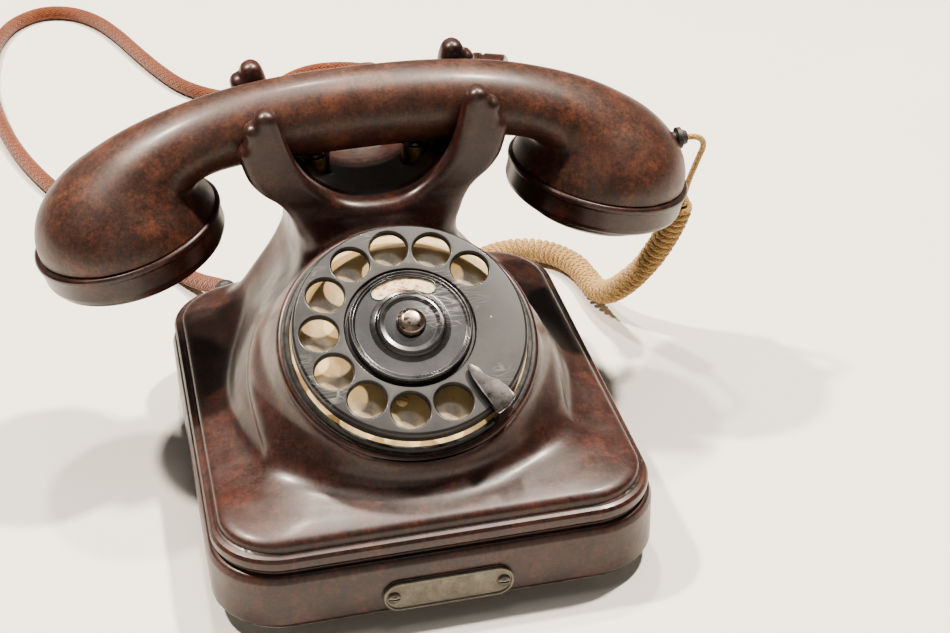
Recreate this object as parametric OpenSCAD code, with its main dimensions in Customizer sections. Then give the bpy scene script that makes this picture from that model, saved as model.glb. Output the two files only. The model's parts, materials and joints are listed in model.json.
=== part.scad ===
// Rotary desk telephone with a cradle handset, in millimetres.
// Origin: middle of the base, on the surface it stands on. +X right, +Y rear, +Z up.

/* [Body] */
// Half of the plinth's width
body_hw = 74.8; // [72:0.1:78]
// How far the plinth reaches forwards of the origin
body_front = 85; // [84:0.5:88]
// How far the plinth reaches backwards of the origin
body_rear = 87.4; // [86:0.2:92]
// Height of the gap under the moulding
skirt_z = 6; // [5:0.5:8]
// Height of the top of the plinth band
plinth_z = 26.6; // [24:0.2:28]
// Wall thickness of the moulding
wall = 3.2; // [2.5:0.1:4]
// Half of the neck's width
neck_hw = 29; // [27:0.5:30]
// Height of the trough between the forks
trough_z = 98.5; // [97:0.5:99]

/* [Cradle] */
// Middle of each fork from the handset's line, front to rear
fork_dy = 20; // [19:0.5:22]
// Thickness of each fork
fork_t = 9; // [7:0.5:10]
// Height of the saddles that the handset rests on
saddle_z = 108.7; // [107:0.1:108.8]
// How far each hook plunger stands from the middle
plunger_x = 18; // [16:0.5:18]
// Radius of a hook plunger
plunger_r = 3.5; // [3:0.1:4]

/* [Dial] */
// How far the dial leans back from level
dial_tilt = 30.5; // [25:0.5:35]
// Radius of the finger wheel
wheel_r = 39; // [38:0.1:39.5]
// Radius of the circle through the finger holes
hole_pitch_r = 30; // [29:0.1:30.5]
// Radius of a finger hole
hole_r = 6.3; // [5.8:0.1:6.6]
// Angle from one finger hole to the next
hole_step = 27.7; // [26:0.1:28]
// Clockwise angle of the first hole from the top
first_hole = 52; // [48:1:54]
// Radius of the card holder
holder_r = 20.4; // [19:0.1:21]

/* [Handset] */
// Middle of the handset, front to rear
hand_y = 43; // [42:0.5:44]
// Middle of each cap from the centre
cap_x = 86.2; // [84:0.1:87]
// Height of each cap's top lip
cap_z = 89.5; // [88:0.1:91]
// How far each cap leans outwards
cap_tilt = 13.4; // [12:0.1:15]
// Radius of a cap
cap_r = 34; // [33:0.1:35]

/* [Cords] */
// Diameter of the braided line cord
line_d = 7; // [6:0.1:8]
// Outer diameter of the curly handset cord
curl_d = 10.4; // [9:0.1:11]
// Diameter of the cord's straight leads
lead_d = 3.4; // [3:0.1:4]

/* [Hidden] */

dial_c = [0, -33.7, 81];
seat_z = -9;            // dial seat on the housing, below the wheel's face
seat_r = 40.5;          // hole that the dial case drops into
floor_z = 4.5;          // underside of the base plate
plate_z = skirt_z;      // top of the base plate
post_h = 30;            // screw posts inside the moulding
rear_in = body_rear - 2.6 - wall;   // inner face of the rear wall
neck_z = 66;            // seam under the neck
neck_y = 12;            // seam between the dial's mound and the neck behind it
cradle_z = 98;          // seam between the neck and the cradle above it
plate_mid_z = 12.6;     // nameplate's middle
case_z = -30;           // bottom of the dial case, in the dial's frame
shaft_r = 3;
stop_z = 0.9;           // underside of the finger stop
window_a = 32;          // half angle of the card window, to the middle of its round ends
window_r = 15.6;
window_w = 5.2;
gear_module = 0.6;
gear_teeth = 60;
pinion_teeth = 12;
governor_a = 215;
governor_r = gear_module * (gear_teeth + pinion_teeth) / 2 + 0.15;
spindle_r = 1.2;
collar_z = 79;          // underside of the plungers' collars
shelf_z = 64;           // shelf that the plunger springs stand on
shelf_hw = 24.2;
lever_hw = 22;
pivot_y = 64;
pivot_z = 76.4;
gong_x = 29;
gong_y = 52;
gong_top = 24.2;
clapper_y = 17.6;
brown = [0.27, 0.13, 0.10];
steel = [0.62, 0.62, 0.60];
brass = [0.72, 0.58, 0.30];
black = [0.08, 0.08, 0.08];

// Moulding's outer sections: height, half width, front, rear, corner radius
sections = [
    [skirt_z, body_hw - 1.2, -body_front + 1.2, body_rear - 1.2, 23],
    [skirt_z + 1.8, body_hw, -body_front, body_rear, 24],
    [plinth_z - 2, body_hw, -body_front, body_rear, 24],
    [plinth_z - 0.6, body_hw - 0.7, -body_front + 0.7, body_rear - 0.7, 23.5],
    [plinth_z, body_hw - 2.2, -body_front + 2.2, body_rear - 2.2, 22],
    [plinth_z + 1.2, body_hw - 2.6, -body_front + 2.6, body_rear - 2.6, 22],
    [plinth_z + 2.4, body_hw - 1.5, -body_front + 1.5, body_rear - 1.5, 23],
    [plinth_z + 4.6, body_hw - 1.3, -body_front + 1.4, body_rear - 1.6, 23],
    [plinth_z + 6.4, body_hw - 2.8, -body_front + 3, body_rear - 2.6, 22],
    [36, 69.4, -81, 82.5, 21],
    [38, 64, -76.5, 81.2, 19],
    [39.6, 56, -69, 80, 17],
    [42, 48.5, -56, 79, 14],
    [48, 41.4, -36, 78, 12],
    [56, 35.6, -12, 77, 10],
    [64, 31.2, 5, 76, 9],
    [72, neck_hw - 0.2, 13, 75, 8],
    [84, neck_hw - 0.8, 17.5, 73.6, 8],
    [94, neck_hw, 18.6, 72, 8],
    [trough_z, neck_hw + 2, 18.5, 71, 7]];

// Flank under the dial: radius and depth in the dial's own frame
mound = [[seat_r, seat_z], [43, seat_z], [43.8, seat_z - 1], [44.6, -14], [46.4, -20],
    [49.2, -27], [53.5, -34], [60, -41], [66, -46]];

// Right half of a fork's outline, from the trough's middle over the horn and down the flare
fork_inner = [[0, trough_z], [7, 99.2], [13, 101.4], [18.5, 105], [23, 109.6], [26.4, 115],
    [28.8, 121], [30.6, 127.5], [31.6, 133]];
fork_outer = [[33, 135.8], [36, 137], [39.4, 136.6], [41.6, 134.2], [43.2, 131.6], [45, 127],
    [46, 122], [45.6, 117], [43.6, 111.6], [39.8, 106.4], [34.6, 102.4], [31.2, 98], [29, 92]];

// Left half of the handset: top x, top z, bottom x, bottom z, half thickness
grip = [[-117.4, 82.1, -54.2, 96.9, 32.5], [-118, 88, -56.6, 100.6, 31.8],
    [-116.4, 95, -58.6, 103.4, 30], [-112.3, 101.8, -59.6, 105.4, 27.2],
    [-106, 108.6, -59.2, 106.8, 24], [-98, 114.6, -57.4, 107.8, 21.2],
    [-88, 120.8, -54.6, 108.6, 18.6], [-76.6, 126.2, -51, 109.1, 16.8],
    [-64.6, 130.6, -46.6, 109.4, 15.6], [-51.6, 134.2, -41.2, 109.6, 14.9],
    [-37, 136.8, -33, 109.8, 14.5], [-19.5, 138.4, -18.2, 110.1, 14.3]];
grip_mid = [0, 138.8, 0, 110.3, 14.2];

// Routes of the free cords, along their middles
floor_line = line_d / 2 + 0.1;
floor_curl = curl_d / 2 + 0.2;
relief_start = [-50, body_rear, 13];
line_route = [[-50, 117, 13], [-53, 124, 10.4], [-58, 134, 6.8], [-64.5, 146, floor_line + 0.5],
    [-74, 162, floor_line], [-86, 182, floor_line], [-99, 205, floor_line],
    [-111, 228, floor_line], [-121, 250, floor_line], [-130, 275, floor_line],
    [-137, 302, floor_line], [-142, 331, floor_line], [-145, 361, floor_line],
    [-144, 391, floor_line], [-140, 417, floor_line], [-131, 438, floor_line],
    [-116, 449, floor_line], [-100, 445, floor_line], [-87, 430, floor_line],
    [-77, 408, floor_line], [-68, 382, floor_line], [-58, 355, floor_line],
    [-47, 333, floor_line], [-31, 317, floor_line], [-12, 309, floor_line],
    [8, 306.4, floor_line]];
coil_c = [20, 268];
coil_r = 34.5;          // middle of the turns
coil_rows = 3;
plug_at = [72, 287, 15];
plug_turn = -25;
tail_route = [[39, 301, 17.6], [47, 297.6, 17.2], [56, 293.8, 16.2], [64, 290.4, 15.4], plug_at];
gland_at = [119.5, hand_y, 97];
lead_route = [gland_at, [123.4, 43.4, 96.4], [126.6, 45, 93.8], [128, 47.4, 89.6],
    [127.6, 50, 84.4], [126.6, 52, 78.6], [125.6, 54, 72.6], [124.8, 55.4, 67]];
curl_route = [[124.7, 55.7, 66], [122.2, 58, 54], [118.2, 61, 42], [113, 65, 30],
    [107.6, 71, 19.4], [103, 79, 10.8], [100.4, 89, 6.2], [99.4, 100, floor_curl],
    [97, 112, floor_curl], [90, 123, floor_curl], [79, 129, floor_curl], [66, 128, floor_curl],
    [54, 121, floor_curl], [45, 112, 5.8]];
base_route = [[45, 112, 5.8], [40, 107.6, 7], [35.4, 103.4, 8.4], [32, 98.4, 9.6],
    [30.4, 93.6, 10.4], [30, 90, 10.6]];

// ---- shared shapes ----

function unit(v) = v / norm(v);

// One rounded-rectangle ring, n steps to a corner
function ring(s, n) = [for (q = [0:3]) for (i = [0:n])
    let (a = 90 * q + 90 * i / n, r = s[4],
         cx = (q == 0 || q == 3) ? s[1] - r : r - s[1],
         cy = (q < 2) ? s[3] - r : s[2] + r)
    [cx + r * cos(a), cy + r * sin(a), s[0]]];

// Skin over rings that all have the same number of points
module skin(rings) {
    m = len(rings[0]);
    n = len(rings);
    sides = [for (k = [0:n - 2]) for (i = [0:m - 1])
        let (j = (i + 1) % m, a = k * m + i, b = (k + 1) * m + i, c = (k + 1) * m + j, d = k * m + j)
        each [[a, b, c], [a, c, d]]];
    polyhedron(points = [for (r = rings) each r],
        faces = concat([[for (i = [0:m - 1]) i]], sides,
                       [[for (i = [m - 1:-1:0]) (n - 1) * m + i]]), convexity = 10);
}

// Round tube along a route, its section carried along without twist
module tube(route, r, sides, up = [0, 0, 1]) {
    n = len(route);
    t = [for (i = [0:n - 1]) unit(route[min(i + 1, n - 1)] - route[max(i - 1, 0)])];
    u = [for (i = 0, v = unit(up - (up * t[0]) * t[0]); i < n;
              i = i + 1, v = let (k = min(i, n - 1)) unit(v - (v * t[k]) * t[k])) v];
    skin([for (i = [0:n - 1]) let (w = cross(t[i], u[i]))
        [for (k = [0:sides - 1]) let (a = 360 * k / sides)
            route[i] + r * cos(a) * u[i] + r * sin(a) * w]]);
}

module in_dial() {
    translate(dial_c) rotate([dial_tilt, 0, 0]) children();
}

// Frame of a cap: z points up out of the cap into the handset's cup
module in_cap(side) {
    translate([side * cap_x, hand_y, cap_z]) rotate([0, side * cap_tilt, 0]) children();
}

// Position on the dial by its clockwise angle from the top
module clockwise(a, r = 0) {
    rotate([0, 0, -a]) translate([0, r, 0]) children();
}

module disc(r, z0, z1) {
    translate([0, 0, z0]) cylinder(r = r, h = z1 - z0, $fn = 96);
}

module washer(r, bore, z0, z1) {
    difference() {
        disc(r, z0, z1);
        disc(bore, z0 - 1, z1 + 1);
    }
}

module block(lo, hi) {
    translate(lo) cube(hi - lo);
}

// Round-head screw with its slot, head on z = 0 and shank below
module screw(head_r, shank_r, length) {
    difference() {
        union() {
            rotate_extrude($fn = 32)
                polygon([[0, 0], [head_r, 0], [head_r, 0.3], [head_r * 0.8, head_r * 0.42],
                         [head_r * 0.4, head_r * 0.62], [0, head_r * 0.68]]);
            translate([0, 0, -length]) cylinder(r = shank_r, h = length, $fn = 24);
        }
        translate([-head_r, -0.35, head_r * 0.3]) cube([head_r * 2, 0.7, head_r]);
    }
}

function helix(r, pitch, turns, steps, z0 = 0) = [for (i = [0:turns * steps])
    [r * cos(360 * i / steps), r * sin(360 * i / steps), z0 + pitch * i / steps]];

module post_places() {
    for (x = [-56, 56]) for (y = [-68, 68]) translate([x, y]) children();
}

// ---- body ----

module fork_plate(y, t) {
    half = concat(fork_inner, fork_outer);
    n = len(half);
    translate([0, y + t / 2, 0]) rotate([90, 0, 0]) linear_extrude(height = t)
        polygon(concat(half, [for (i = [n - 1:-1:1]) [-half[i][0], half[i][1]]]));
}

module housing_solid() {
    skin([for (s = sections) ring(s, 12)]);
    intersection() {
        in_dial() rotate_extrude($fn = 96)
            polygon(concat([[0, seat_z]], mound, [[0, -46]]));
        block([-70, -80, plinth_z + 6], [70, 66, 140]);
    }
    fork_plate(hand_y - fork_dy, fork_t);
    fork_plate(hand_y + fork_dy, fork_t);
    intersection() {
        fork_plate(hand_y, 2 * fork_dy - fork_t + 0.02);
        block([-60, 0, 60], [60, 90, saddle_z]);
    }
}

module housing_hollow() {
    inner = [for (i = [0:len(sections) - 2]) if (i != 3 && i != 4 && i != 6)
        let (s = sections[i]) [s[0] - (i == 0 ? 1 : s[0] > 34 ? wall : 0), min(s[1], body_hw - 2.6) - wall,
            max(s[2], -body_front + 2.6) + wall, min(s[3], body_rear - 2.6) - wall,
            max(s[4] - wall, 3)]];
    skin([for (s = inner) ring(s, 8)]);
    in_dial() rotate_extrude($fn = 64)
        polygon([[0, seat_z - wall], [41.4, seat_z - wall], [42, -20], [45, -28], [50, -36],
                 [0, -36]]);
    in_dial() translate([0, 0, -30]) cylinder(r = seat_r, h = 40, $fn = 96);
}

// Plinth, body, neck and both forks, before the cradle is parted from them
module moulding() {
    difference() {
        union() {
            difference() {
                housing_solid();
                housing_hollow();
            }
            post_places() translate([0, 0, plate_z]) cylinder(r = 4, h = post_h, $fn = 32);
        }
        post_places() translate([0, 0, plate_z - 1]) cylinder(r = 1.8, h = 14, $fn = 32);
        for (s = [-1, 1]) translate([s * plunger_x, hand_y, 85]) cylinder(r = 5.2, h = 30, $fn = 32);
        translate([relief_start[0], body_rear - 8, relief_start[2]]) rotate([-90, 0, 0])
            cylinder(r = 5.2, h = 12, $fn = 32);
        translate([30, body_rear - 8, 10.6]) rotate([-90, 0, 0]) cylinder(r = 3.7, h = 12, $fn = 32);
    }
}

module neck_space() {
    block([-100, neck_y, neck_z], [100, 100, cradle_z]);
}

module cradle_space() {
    block([-100, -100, cradle_z], [100, 100, 200]);
}

// Moulded shell: plinth, body and the mound round the dial. The resizes keep each part of the
// moulding, its loft and its cuts, as one mesh.
module housing() {
    color(brown) resize([0, 0, 0]) difference() {
        moulding();
        neck_space();
        cradle_space();
    }
}

module neck() {
    color(brown) resize([0, 0, 0]) intersection() {
        moulding();
        neck_space();
    }
}

// Saddle and both forks that hold the handset
module cradle() {
    color(brown) resize([0, 0, 0]) intersection() {
        moulding();
        cradle_space();
    }
}

module base_plate() {
    color(steel) translate([0, 0, floor_z]) linear_extrude(height = plate_z - floor_z) difference() {
        base_outline(2.6);
        post_places() circle(r = 2.1, $fn = 32);
    }
}

module base_outline(inset) {
    hw = body_hw - inset;
    yr = body_rear - inset;
    yf = inset - body_front;
    r = 21;
    polygon([for (p = ring([0, hw, yf, yr, r], 8)) [p[0], p[1]]]);
}

module rubber_feet() {
    color(black) for (x = [-46, 46]) for (y = [-56, 56]) translate([x, y, 0])
        rotate_extrude($fn = 48)
            polygon([[0, 0], [7, 0], [8, 1], [8.6, floor_z], [0, floor_z]]);
}

module base_screws() {
    color(steel) post_places() translate([0, 0, floor_z]) rotate([180, 0, 0]) screw(3.4, 1.5, 12);
}

module nameplate_outline(grow) {
    hull() for (s = [-1, 1]) translate([s * 16, 0]) circle(r = 5.75 + grow, $fn = 32);
}

// Blank plate with a raised rim
module nameplate() {
    color([0.5, 0.48, 0.42]) translate([0, -body_front, plate_mid_z]) rotate([90, 0, 0])
        difference() {
            linear_extrude(height = 1.5) nameplate_outline(0);
            translate([0, 0, 0.9]) linear_extrude(height = 1) nameplate_outline(-1);
            for (s = [-1, 1]) translate([s * 18.2, 0, -1]) cylinder(r = 1.1, h = 4, $fn = 24);
        }
}

module nameplate_screws() {
    color(steel) for (s = [-1, 1]) translate([s * 18.2, -body_front - 0.9, plate_mid_z])
        rotate([90, 0, 0]) screw(2.2, 1, 0.9);
}

// ---- dial, fixed pieces ----

module dial_case() {
    color(steel) in_dial() difference() {
        union() {
            disc(39.8, case_z, seat_z + 0.2);
            disc(42, seat_z, seat_z + 0.6);
        }
        disc(38.4, case_z + 1.4, 0);
        disc(shaft_r + 0.06, case_z - 1, 0);
    }
}

module dial_bezel() {
    color(brass) in_dial() rotate_extrude($fn = 96)
        polygon([[39.7, seat_z + 0.6], [41.3, seat_z + 0.6], [41.3, seat_z + 1.6],
                 [40.8, seat_z + 2.1], [39.7, seat_z + 2.1]]);
}

// Enamelled plate under the finger holes
module number_plate() {
    color([0.85, 0.76, 0.56]) in_dial() difference() {
        washer(39.5, 4, seat_z + 0.6, seat_z + 1.4);
        dial_screw_places() translate([0, 0, -1]) cylinder(r = 1.1, h = 3, $fn = 24);
    }
}

module dial_screw_places() {
    for (a = [0, 120, 240]) clockwise(a + 76, 23.4) translate([0, 0, seat_z + 1.4]) children();
}

module dial_screws() {
    color(steel) in_dial() dial_screw_places() screw(2, 0.9, 4);
}

function polar(r, a) = [r * sin(a), r * cos(a)];

// Hooked stop that the finger comes round to, standing on the bezel
module finger_stop() {
    color([0.3, 0.29, 0.28]) in_dial() {
        translate([0, 0, stop_z]) linear_extrude(height = 1.2)
            polygon([polar(24.2, 135.8), polar(23.5, 138), polar(24.4, 141.2), polar(28, 144.9),
                     polar(32.4, 146.7), polar(37, 147.6), polar(41.8, 148.9), polar(42.3, 142.8),
                     polar(41.9, 137), polar(37.8, 135), polar(34.9, 134.8), polar(31.6, 136.6),
                     polar(28.6, 137), polar(26, 135.2)]);
        translate([0, 0, seat_z + 2.1]) linear_extrude(height = stop_z - seat_z - 2.1)
            polygon([polar(40, 137.2), polar(41.9, 137), polar(42.3, 142.8), polar(41.8, 148.9),
                     polar(40, 148.6)]);
    }
}

// Pulse springs on an insulating block
module impulse_contacts() {
    color(brass) in_dial() clockwise(70) {
        block([-4, 24, case_z + 1.4], [4, 33, -20]);
        for (x = [-2.6, 1.4]) block([x, 10.4, -19.6], [x + 0.4, 25, -17.2]);
        block([-2.6, 23.6, -20.2], [1.8, 30, -17]);
    }
}

module mainspring() {
    turns = 4;
    steps = 24;
    n = turns * steps;
    color(steel) in_dial() translate([0, 0, seat_z - 3.6]) linear_extrude(height = 3)
        polygon(concat(
            [for (i = [0:n]) let (a = 360 * i / steps, r = 4.4 + 9 * i / n) r * [cos(a), sin(a)]],
            [for (i = [n:-1:0]) let (a = 360 * i / steps, r = 4.9 + 9 * i / n) r * [cos(a), sin(a)]]));
}

module governor_cup() {
    color(brass) in_dial() at_governor() {
        washer(10.2, 9.2, -25, -19);
        washer(10.2, spindle_r + 0.06, case_z + 1.4, -25);
    }
}

// ---- dial, turning pieces ----

module finger_wheel() {
    color(black) in_dial() difference() {
        rotate_extrude($fn = 96)
            polygon([[2.15, -2], [2.15, 0], [20.6, 0], [20.9, -0.5], [21.6, -0.5], [22, 0],
                     [wheel_r - 0.9, 0], [wheel_r - 0.3, -0.3], [wheel_r, -0.9], [wheel_r, -4.8],
                     [wheel_r - 1.4, -4.8], [wheel_r - 1.4, -2.6], [wheel_r - 2, -2]]);
        for (i = [0:9]) clockwise(first_hole - i * hole_step, hole_pitch_r)
            translate([0, 0, -3]) cylinder(r = hole_r, h = 4, $fn = 64);
    }
}

// Slot bent round the dial's centre, with round ends
function window_outline() = concat(
    [for (a = [-window_a:4:window_a]) polar(window_r + window_w / 2, a)],
    [for (t = [15:15:165]) polar(window_r, window_a) + polar(window_w / 2, window_a + t)],
    [for (a = [window_a:-4:-window_a]) polar(window_r - window_w / 2, a)],
    [for (t = [15:15:165]) polar(window_r, -window_a) + polar(window_w / 2, 180 - window_a + t)]);

module card_holder() {
    color([0.12, 0.12, 0.13]) in_dial() difference() {
        rotate_extrude($fn = 96)
            polygon([[2.15, 0.5], [2.15, 2.6], [10.2, 2.4], [11, 1.9], [11.3, 1.3], [18.4, 1.1],
                     [18.9, 1.6], [19.7, 1.8], [holder_r, 1.2], [holder_r, 0], [18.6, 0],
                     [18.6, 0.5]]);
        linear_extrude(height = 4) polygon(window_outline());
    }
}

module number_card() {
    color([0.88, 0.8, 0.64]) in_dial() washer(18.4, 3, 0.02, 0.46);
}

module centre_knob() {
    color(steel) in_dial() {
        rotate_extrude($fn = 48)
            polygon([[0, 2.6], [4.8, 2.6], [4.9, 3.4], [4.6, 4.6], [3.7, 5.6], [2.1, 6.3], [0, 6.5]]);
        disc(2.05, -2, 2.6);
    }
}

module dial_shaft() {
    color(steel) in_dial() disc(shaft_r, case_z - 1.5, -2);
}

// Spur gear of tapered teeth, one tooth centred on +Y
module gear(teeth, bore, z0, z1) {
    pitch_r = teeth * gear_module / 2;
    half = 90 / teeth;
    difference() {
        union() {
            disc(pitch_r - 0.7, z0, z1);
            translate([0, 0, z0]) linear_extrude(height = z1 - z0)
                for (i = [0:teeth - 1]) rotate(360 * i / teeth)
                    polygon([polar(pitch_r - 1.2, -half), polar(pitch_r, -0.8 * half),
                             polar(pitch_r + 0.5, -0.4 * half), polar(pitch_r + 0.5, 0.4 * half),
                             polar(pitch_r, 0.8 * half), polar(pitch_r - 1.2, half)]);
        }
        disc(bore, z0 - 1, z1 + 1);
    }
}

module at_governor() {
    clockwise(governor_a, governor_r) children();
}

module main_gear() {
    color(brass) in_dial() clockwise(governor_a) gear(gear_teeth, shaft_r, -16, -14);
}

module impulse_cam() {
    color(black) in_dial() difference() {
        washer(9, shaft_r, -19.5, -17.5);
        for (i = [0:9]) clockwise(i * hole_step, 9) translate([0, 0, -20])
            cylinder(r = 1, h = 3, $fn = 24);
    }
}

module governor_spindle() {
    color(steel) in_dial() at_governor() {
        rotate([0, 0, 180 / pinion_teeth]) gear(pinion_teeth, spindle_r, -16.2, -13.8);
        disc(spindle_r, case_z + 2, -12.6);
    }
}

module governor_weights() {
    color(brass) in_dial() at_governor() difference() {
        disc(8.4, -23.5, -20);
        disc(spindle_r, -24, -19);
        for (s = [-1, 1]) block([s * 5 - 1, -9, -24], [s * 5 + 1, 9 - 4, -19]);
    }
}

// ---- hook switch ----

module plunger(side) {
    color(steel) translate([side * plunger_x, hand_y, 0]) rotate_extrude($fn = 48)
        polygon([[0, 68], [2.6, 68], [2.6, collar_z], [5.6, collar_z], [5.6, collar_z + 2],
                 [plunger_r, collar_z + 2], [plunger_r, 108], [2.8, 109], [1.6, 109.6], [0, 109.8]]);
}

module plunger_left() {
    plunger(-1);
}

module plunger_right() {
    plunger(1);
}

module plunger_bushes() {
    color(brass) for (s = [-1, 1]) translate([s * plunger_x, hand_y, 0])
        washer(5.1, plunger_r + 0.06, 88, 108.4);
}

module plunger_spring(side) {
    color(steel) translate([side * plunger_x, hand_y, shelf_z])
        tube(helix(3.9, (collar_z - shelf_z - 1.2) / 5, 5, 14, 0.6), 0.5, 6);
}

module spring_left() {
    plunger_spring(-1);
}

module spring_right() {
    plunger_spring(1);
}

// Rocker that the plungers' collars carry, on its own pivot pin
module hook_lever() {
    color(steel) {
        block([-lever_hw, hand_y + 4.8, collar_z - 2.3], [lever_hw, pivot_y - 1, collar_z - 0.3]);
        block([-lever_hw, pivot_y - 2, pivot_z - 0.5], [lever_hw, pivot_y, collar_z - 0.3]);
        translate([-shelf_hw, pivot_y, pivot_z]) rotate([0, 90, 0])
            cylinder(r = 1.5, h = 2 * shelf_hw, $fn = 32);
    }
}

module hook_bracket() {
    color(steel) difference() {
        union() {
            block([-6, 68.2, plate_z], [6, 70.2, 84]);
            block([-shelf_hw, hand_y - 8, shelf_z - 2], [shelf_hw, 70.2, shelf_z]);
            for (s = [-1, 1]) block([s * (shelf_hw - 1) - 0.8, 60, shelf_z],
                                    [s * (shelf_hw - 1) + 0.8, 68.4, pivot_z + 3]);
        }
        translate([-25, pivot_y, pivot_z]) rotate([0, 90, 0]) cylinder(r = 1.56, h = 50, $fn = 32);
        for (s = [-1, 1]) translate([s * plunger_x, hand_y, shelf_z - 3])
            cylinder(r = 3, h = 4, $fn = 32);
    }
}

module hook_contacts() {
    color(brass) {
        block([-3.4, hand_y - 7, shelf_z], [3.4, hand_y - 1, 74]);
        for (z = [67, 70, 73]) block([-2.2, hand_y - 1, z], [2.2, hand_y + 15, z + 0.4]);
    }
}

// ---- bell ----

module bell_frame() {
    color(steel) {
        block([-34, 44, plate_z], [34, 60, plate_z + 2]);
        block([-20, -12, plate_z], [20, 44, plate_z + 2]);
        for (s = [-1, 1]) translate([s * gong_x, gong_y, plate_z + 2])
            cylinder(r = 3.6, h = gong_top - 1.4 - plate_z - 2, $fn = 32);
        translate([0, clapper_y, plate_z + 2]) cylinder(r = 2.4, h = 2.8, $fn = 32);
        translate([0, clapper_y, plate_z + 4]) cylinder(r = 0.95, h = 14, $fn = 24);
    }
}

module bell_coils() {
    color([0.5, 0.2, 0.12]) {
        for (s = [-1, 1]) translate([s * 11, -8, plate_z + 9]) rotate([-90, 0, 0])
            rotate_extrude($fn = 48)
                polygon([[0, 0], [7, 0], [7, 1.4], [6, 1.4], [6, 19.6], [7, 19.6], [7, 21],
                         [3, 21], [3, 22.4], [0, 22.4]]);
        block([-19, -11, plate_z + 2], [19, -8, plate_z + 16]);
    }
}

module gong(side) {
    color([0.6, 0.52, 0.36]) translate([side * gong_x, gong_y, 0]) rotate_extrude($fn = 72)
        polygon([[22, 12], [22, 14], [21, 18], [17.6, 21.6], [11, 23.6], [1.95, gong_top],
                 [1.95, gong_top - 1.4], [10.6, 22.2], [16.8, 20.2], [19.8, 17.4], [20.6, 14],
                 [20.6, 12]]);
}

module gong_left() {
    gong(-1);
}

module gong_right() {
    gong(1);
}

module gong_screws() {
    color(steel) for (s = [-1, 1]) translate([s * gong_x, gong_y, gong_top]) screw(4, 1.9, 1.4);
}

// Armature, arm and hammer ball
module clapper() {
    color(steel) {
        difference() {
            block([-16, clapper_y - 1.6, plate_z + 5], [16, clapper_y + 1.6, plate_z + 13]);
            translate([0, clapper_y, 0]) cylinder(r = 1, h = 40, $fn = 24);
        }
        translate([0, clapper_y + 1, plate_z + 9]) rotate([-90, 0, 0])
            cylinder(r = 0.9, h = gong_y - clapper_y - 3, $fn = 24);
        translate([0, gong_y, plate_z + 9]) sphere(r = 4.6, $fn = 32);
    }
}

// ---- circuit ----

module induction_coil() {
    color([0.45, 0.3, 0.14]) translate([-50, -38, plate_z + 10]) rotate([-90, 0, 0]) {
        disc(8.4, 0, 46);
        for (y = [0, 43]) block([-10, -10, y], [10, 10, y + 3]);
    }
}

module capacitor() {
    color([0.55, 0.55, 0.5]) block([40, -40, plate_z], [60, -4, plate_z + 20]);
}

module terminal_block() {
    color(black) block([-24, -74, plate_z], [24, -58, plate_z + 10]);
}

module terminal_screws() {
    color(brass) for (x = [-20:8:20]) translate([x, -66, plate_z + 10.2]) screw(2.6, 1.2, 0.2);
}

// ---- handset ----

function oval(s) = [for (k = [0:31]) let (a = 360 * k / 32)
    [(s[0] + s[2]) / 2 + sin(a) * (s[0] - s[2]) / 2, hand_y + cos(a) * s[4],
     (s[1] + s[3]) / 2 + sin(a) * (s[1] - s[3]) / 2]];

// Grip and both cups in one moulding, hollow under the caps
module handset_body() {
    rows = concat(grip, [grip_mid], [for (i = [len(grip) - 1:-1:0]) let (s = grip[i])
        [-s[0], s[1], -s[2], s[3], s[4]]]);
    color(brown) resize([0, 0, 0]) difference() {
        union() {
            skin([for (s = rows) oval(s)]);
            for (s = [-1, 1]) in_cap(s) cylinder(r = 30.4, h = 14, $fn = 64, center = true);
        }
        for (s = [-1, 1]) in_cap(s) {
            translate([0, 0, -8]) cylinder(r = 28, h = 14, $fn = 64);
            translate([0, 0, 5.9]) cylinder(r1 = 25, r2 = 13, h = 14, $fn = 48);
        }
        translate([108, hand_y, gland_at[2]]) rotate([0, 90, 0]) cylinder(r = 2.6, h = 20, $fn = 24);
    }
}

// Screwed ring with a lip; the face below it is added by each cap
module cap_ring() {
    rotate_extrude($fn = 96)
        polygon([[30.5, -0.2], [cap_r - 0.8, -0.2], [cap_r, -1], [cap_r, -1.8], [cap_r - 0.7, -2.6],
                 [cap_r - 0.9, -9.6], [cap_r - 1.6, -10.4], [cap_r - 2.2, -11], [30.5, -11]]);
}

module cap_holes() {
    for (i = [0:5]) rotate(60 * i) translate([7, 0, -30]) cylinder(r = 1.6, h = 30, $fn = 24);
    translate([0, 0, -30]) cylinder(r = 1.6, h = 30, $fn = 24);
}

// Ear cap: shallow dish with seven sound holes
module receiver_cap() {
    color(brown) in_cap(-1) {
        cap_ring();
        difference() {
            rotate_extrude($fn = 96)
                polygon([[0, -9.4], [30.6, -9.4], [31.8, -11], [31.4, -12.4], [29.4, -13.6],
                         [26, -14], [20, -12.8], [12, -11.6], [0, -11.2]]);
            cap_holes();
        }
    }
}

// Mouth cap: deeper, with a raised round mouthpiece
module transmitter_cap() {
    color(brown) in_cap(1) {
        cap_ring();
        difference() {
            rotate_extrude($fn = 96)
                polygon([[0, -9.4], [30.6, -9.4], [31.8, -11], [31, -12], [27.4, -12.6],
                         [26.4, -14.6], [24, -16.4], [20, -16.8], [14, -15.2], [0, -14.4]]);
            cap_holes();
        }
    }
}

module receiver_capsule() {
    color(steel) in_cap(-1) {
        disc(26.5, -7.4, 4);
        disc(12, 4, 12);
    }
}

module receiver_diaphragm() {
    color([0.35, 0.35, 0.36]) in_cap(-1) disc(27, -7.9, -7.5);
}

module transmitter_capsule() {
    color(brass) in_cap(1) {
        disc(26.5, -7.6, 2);
        disc(18, 2, 8);
    }
}

// ---- cords ----

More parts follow.
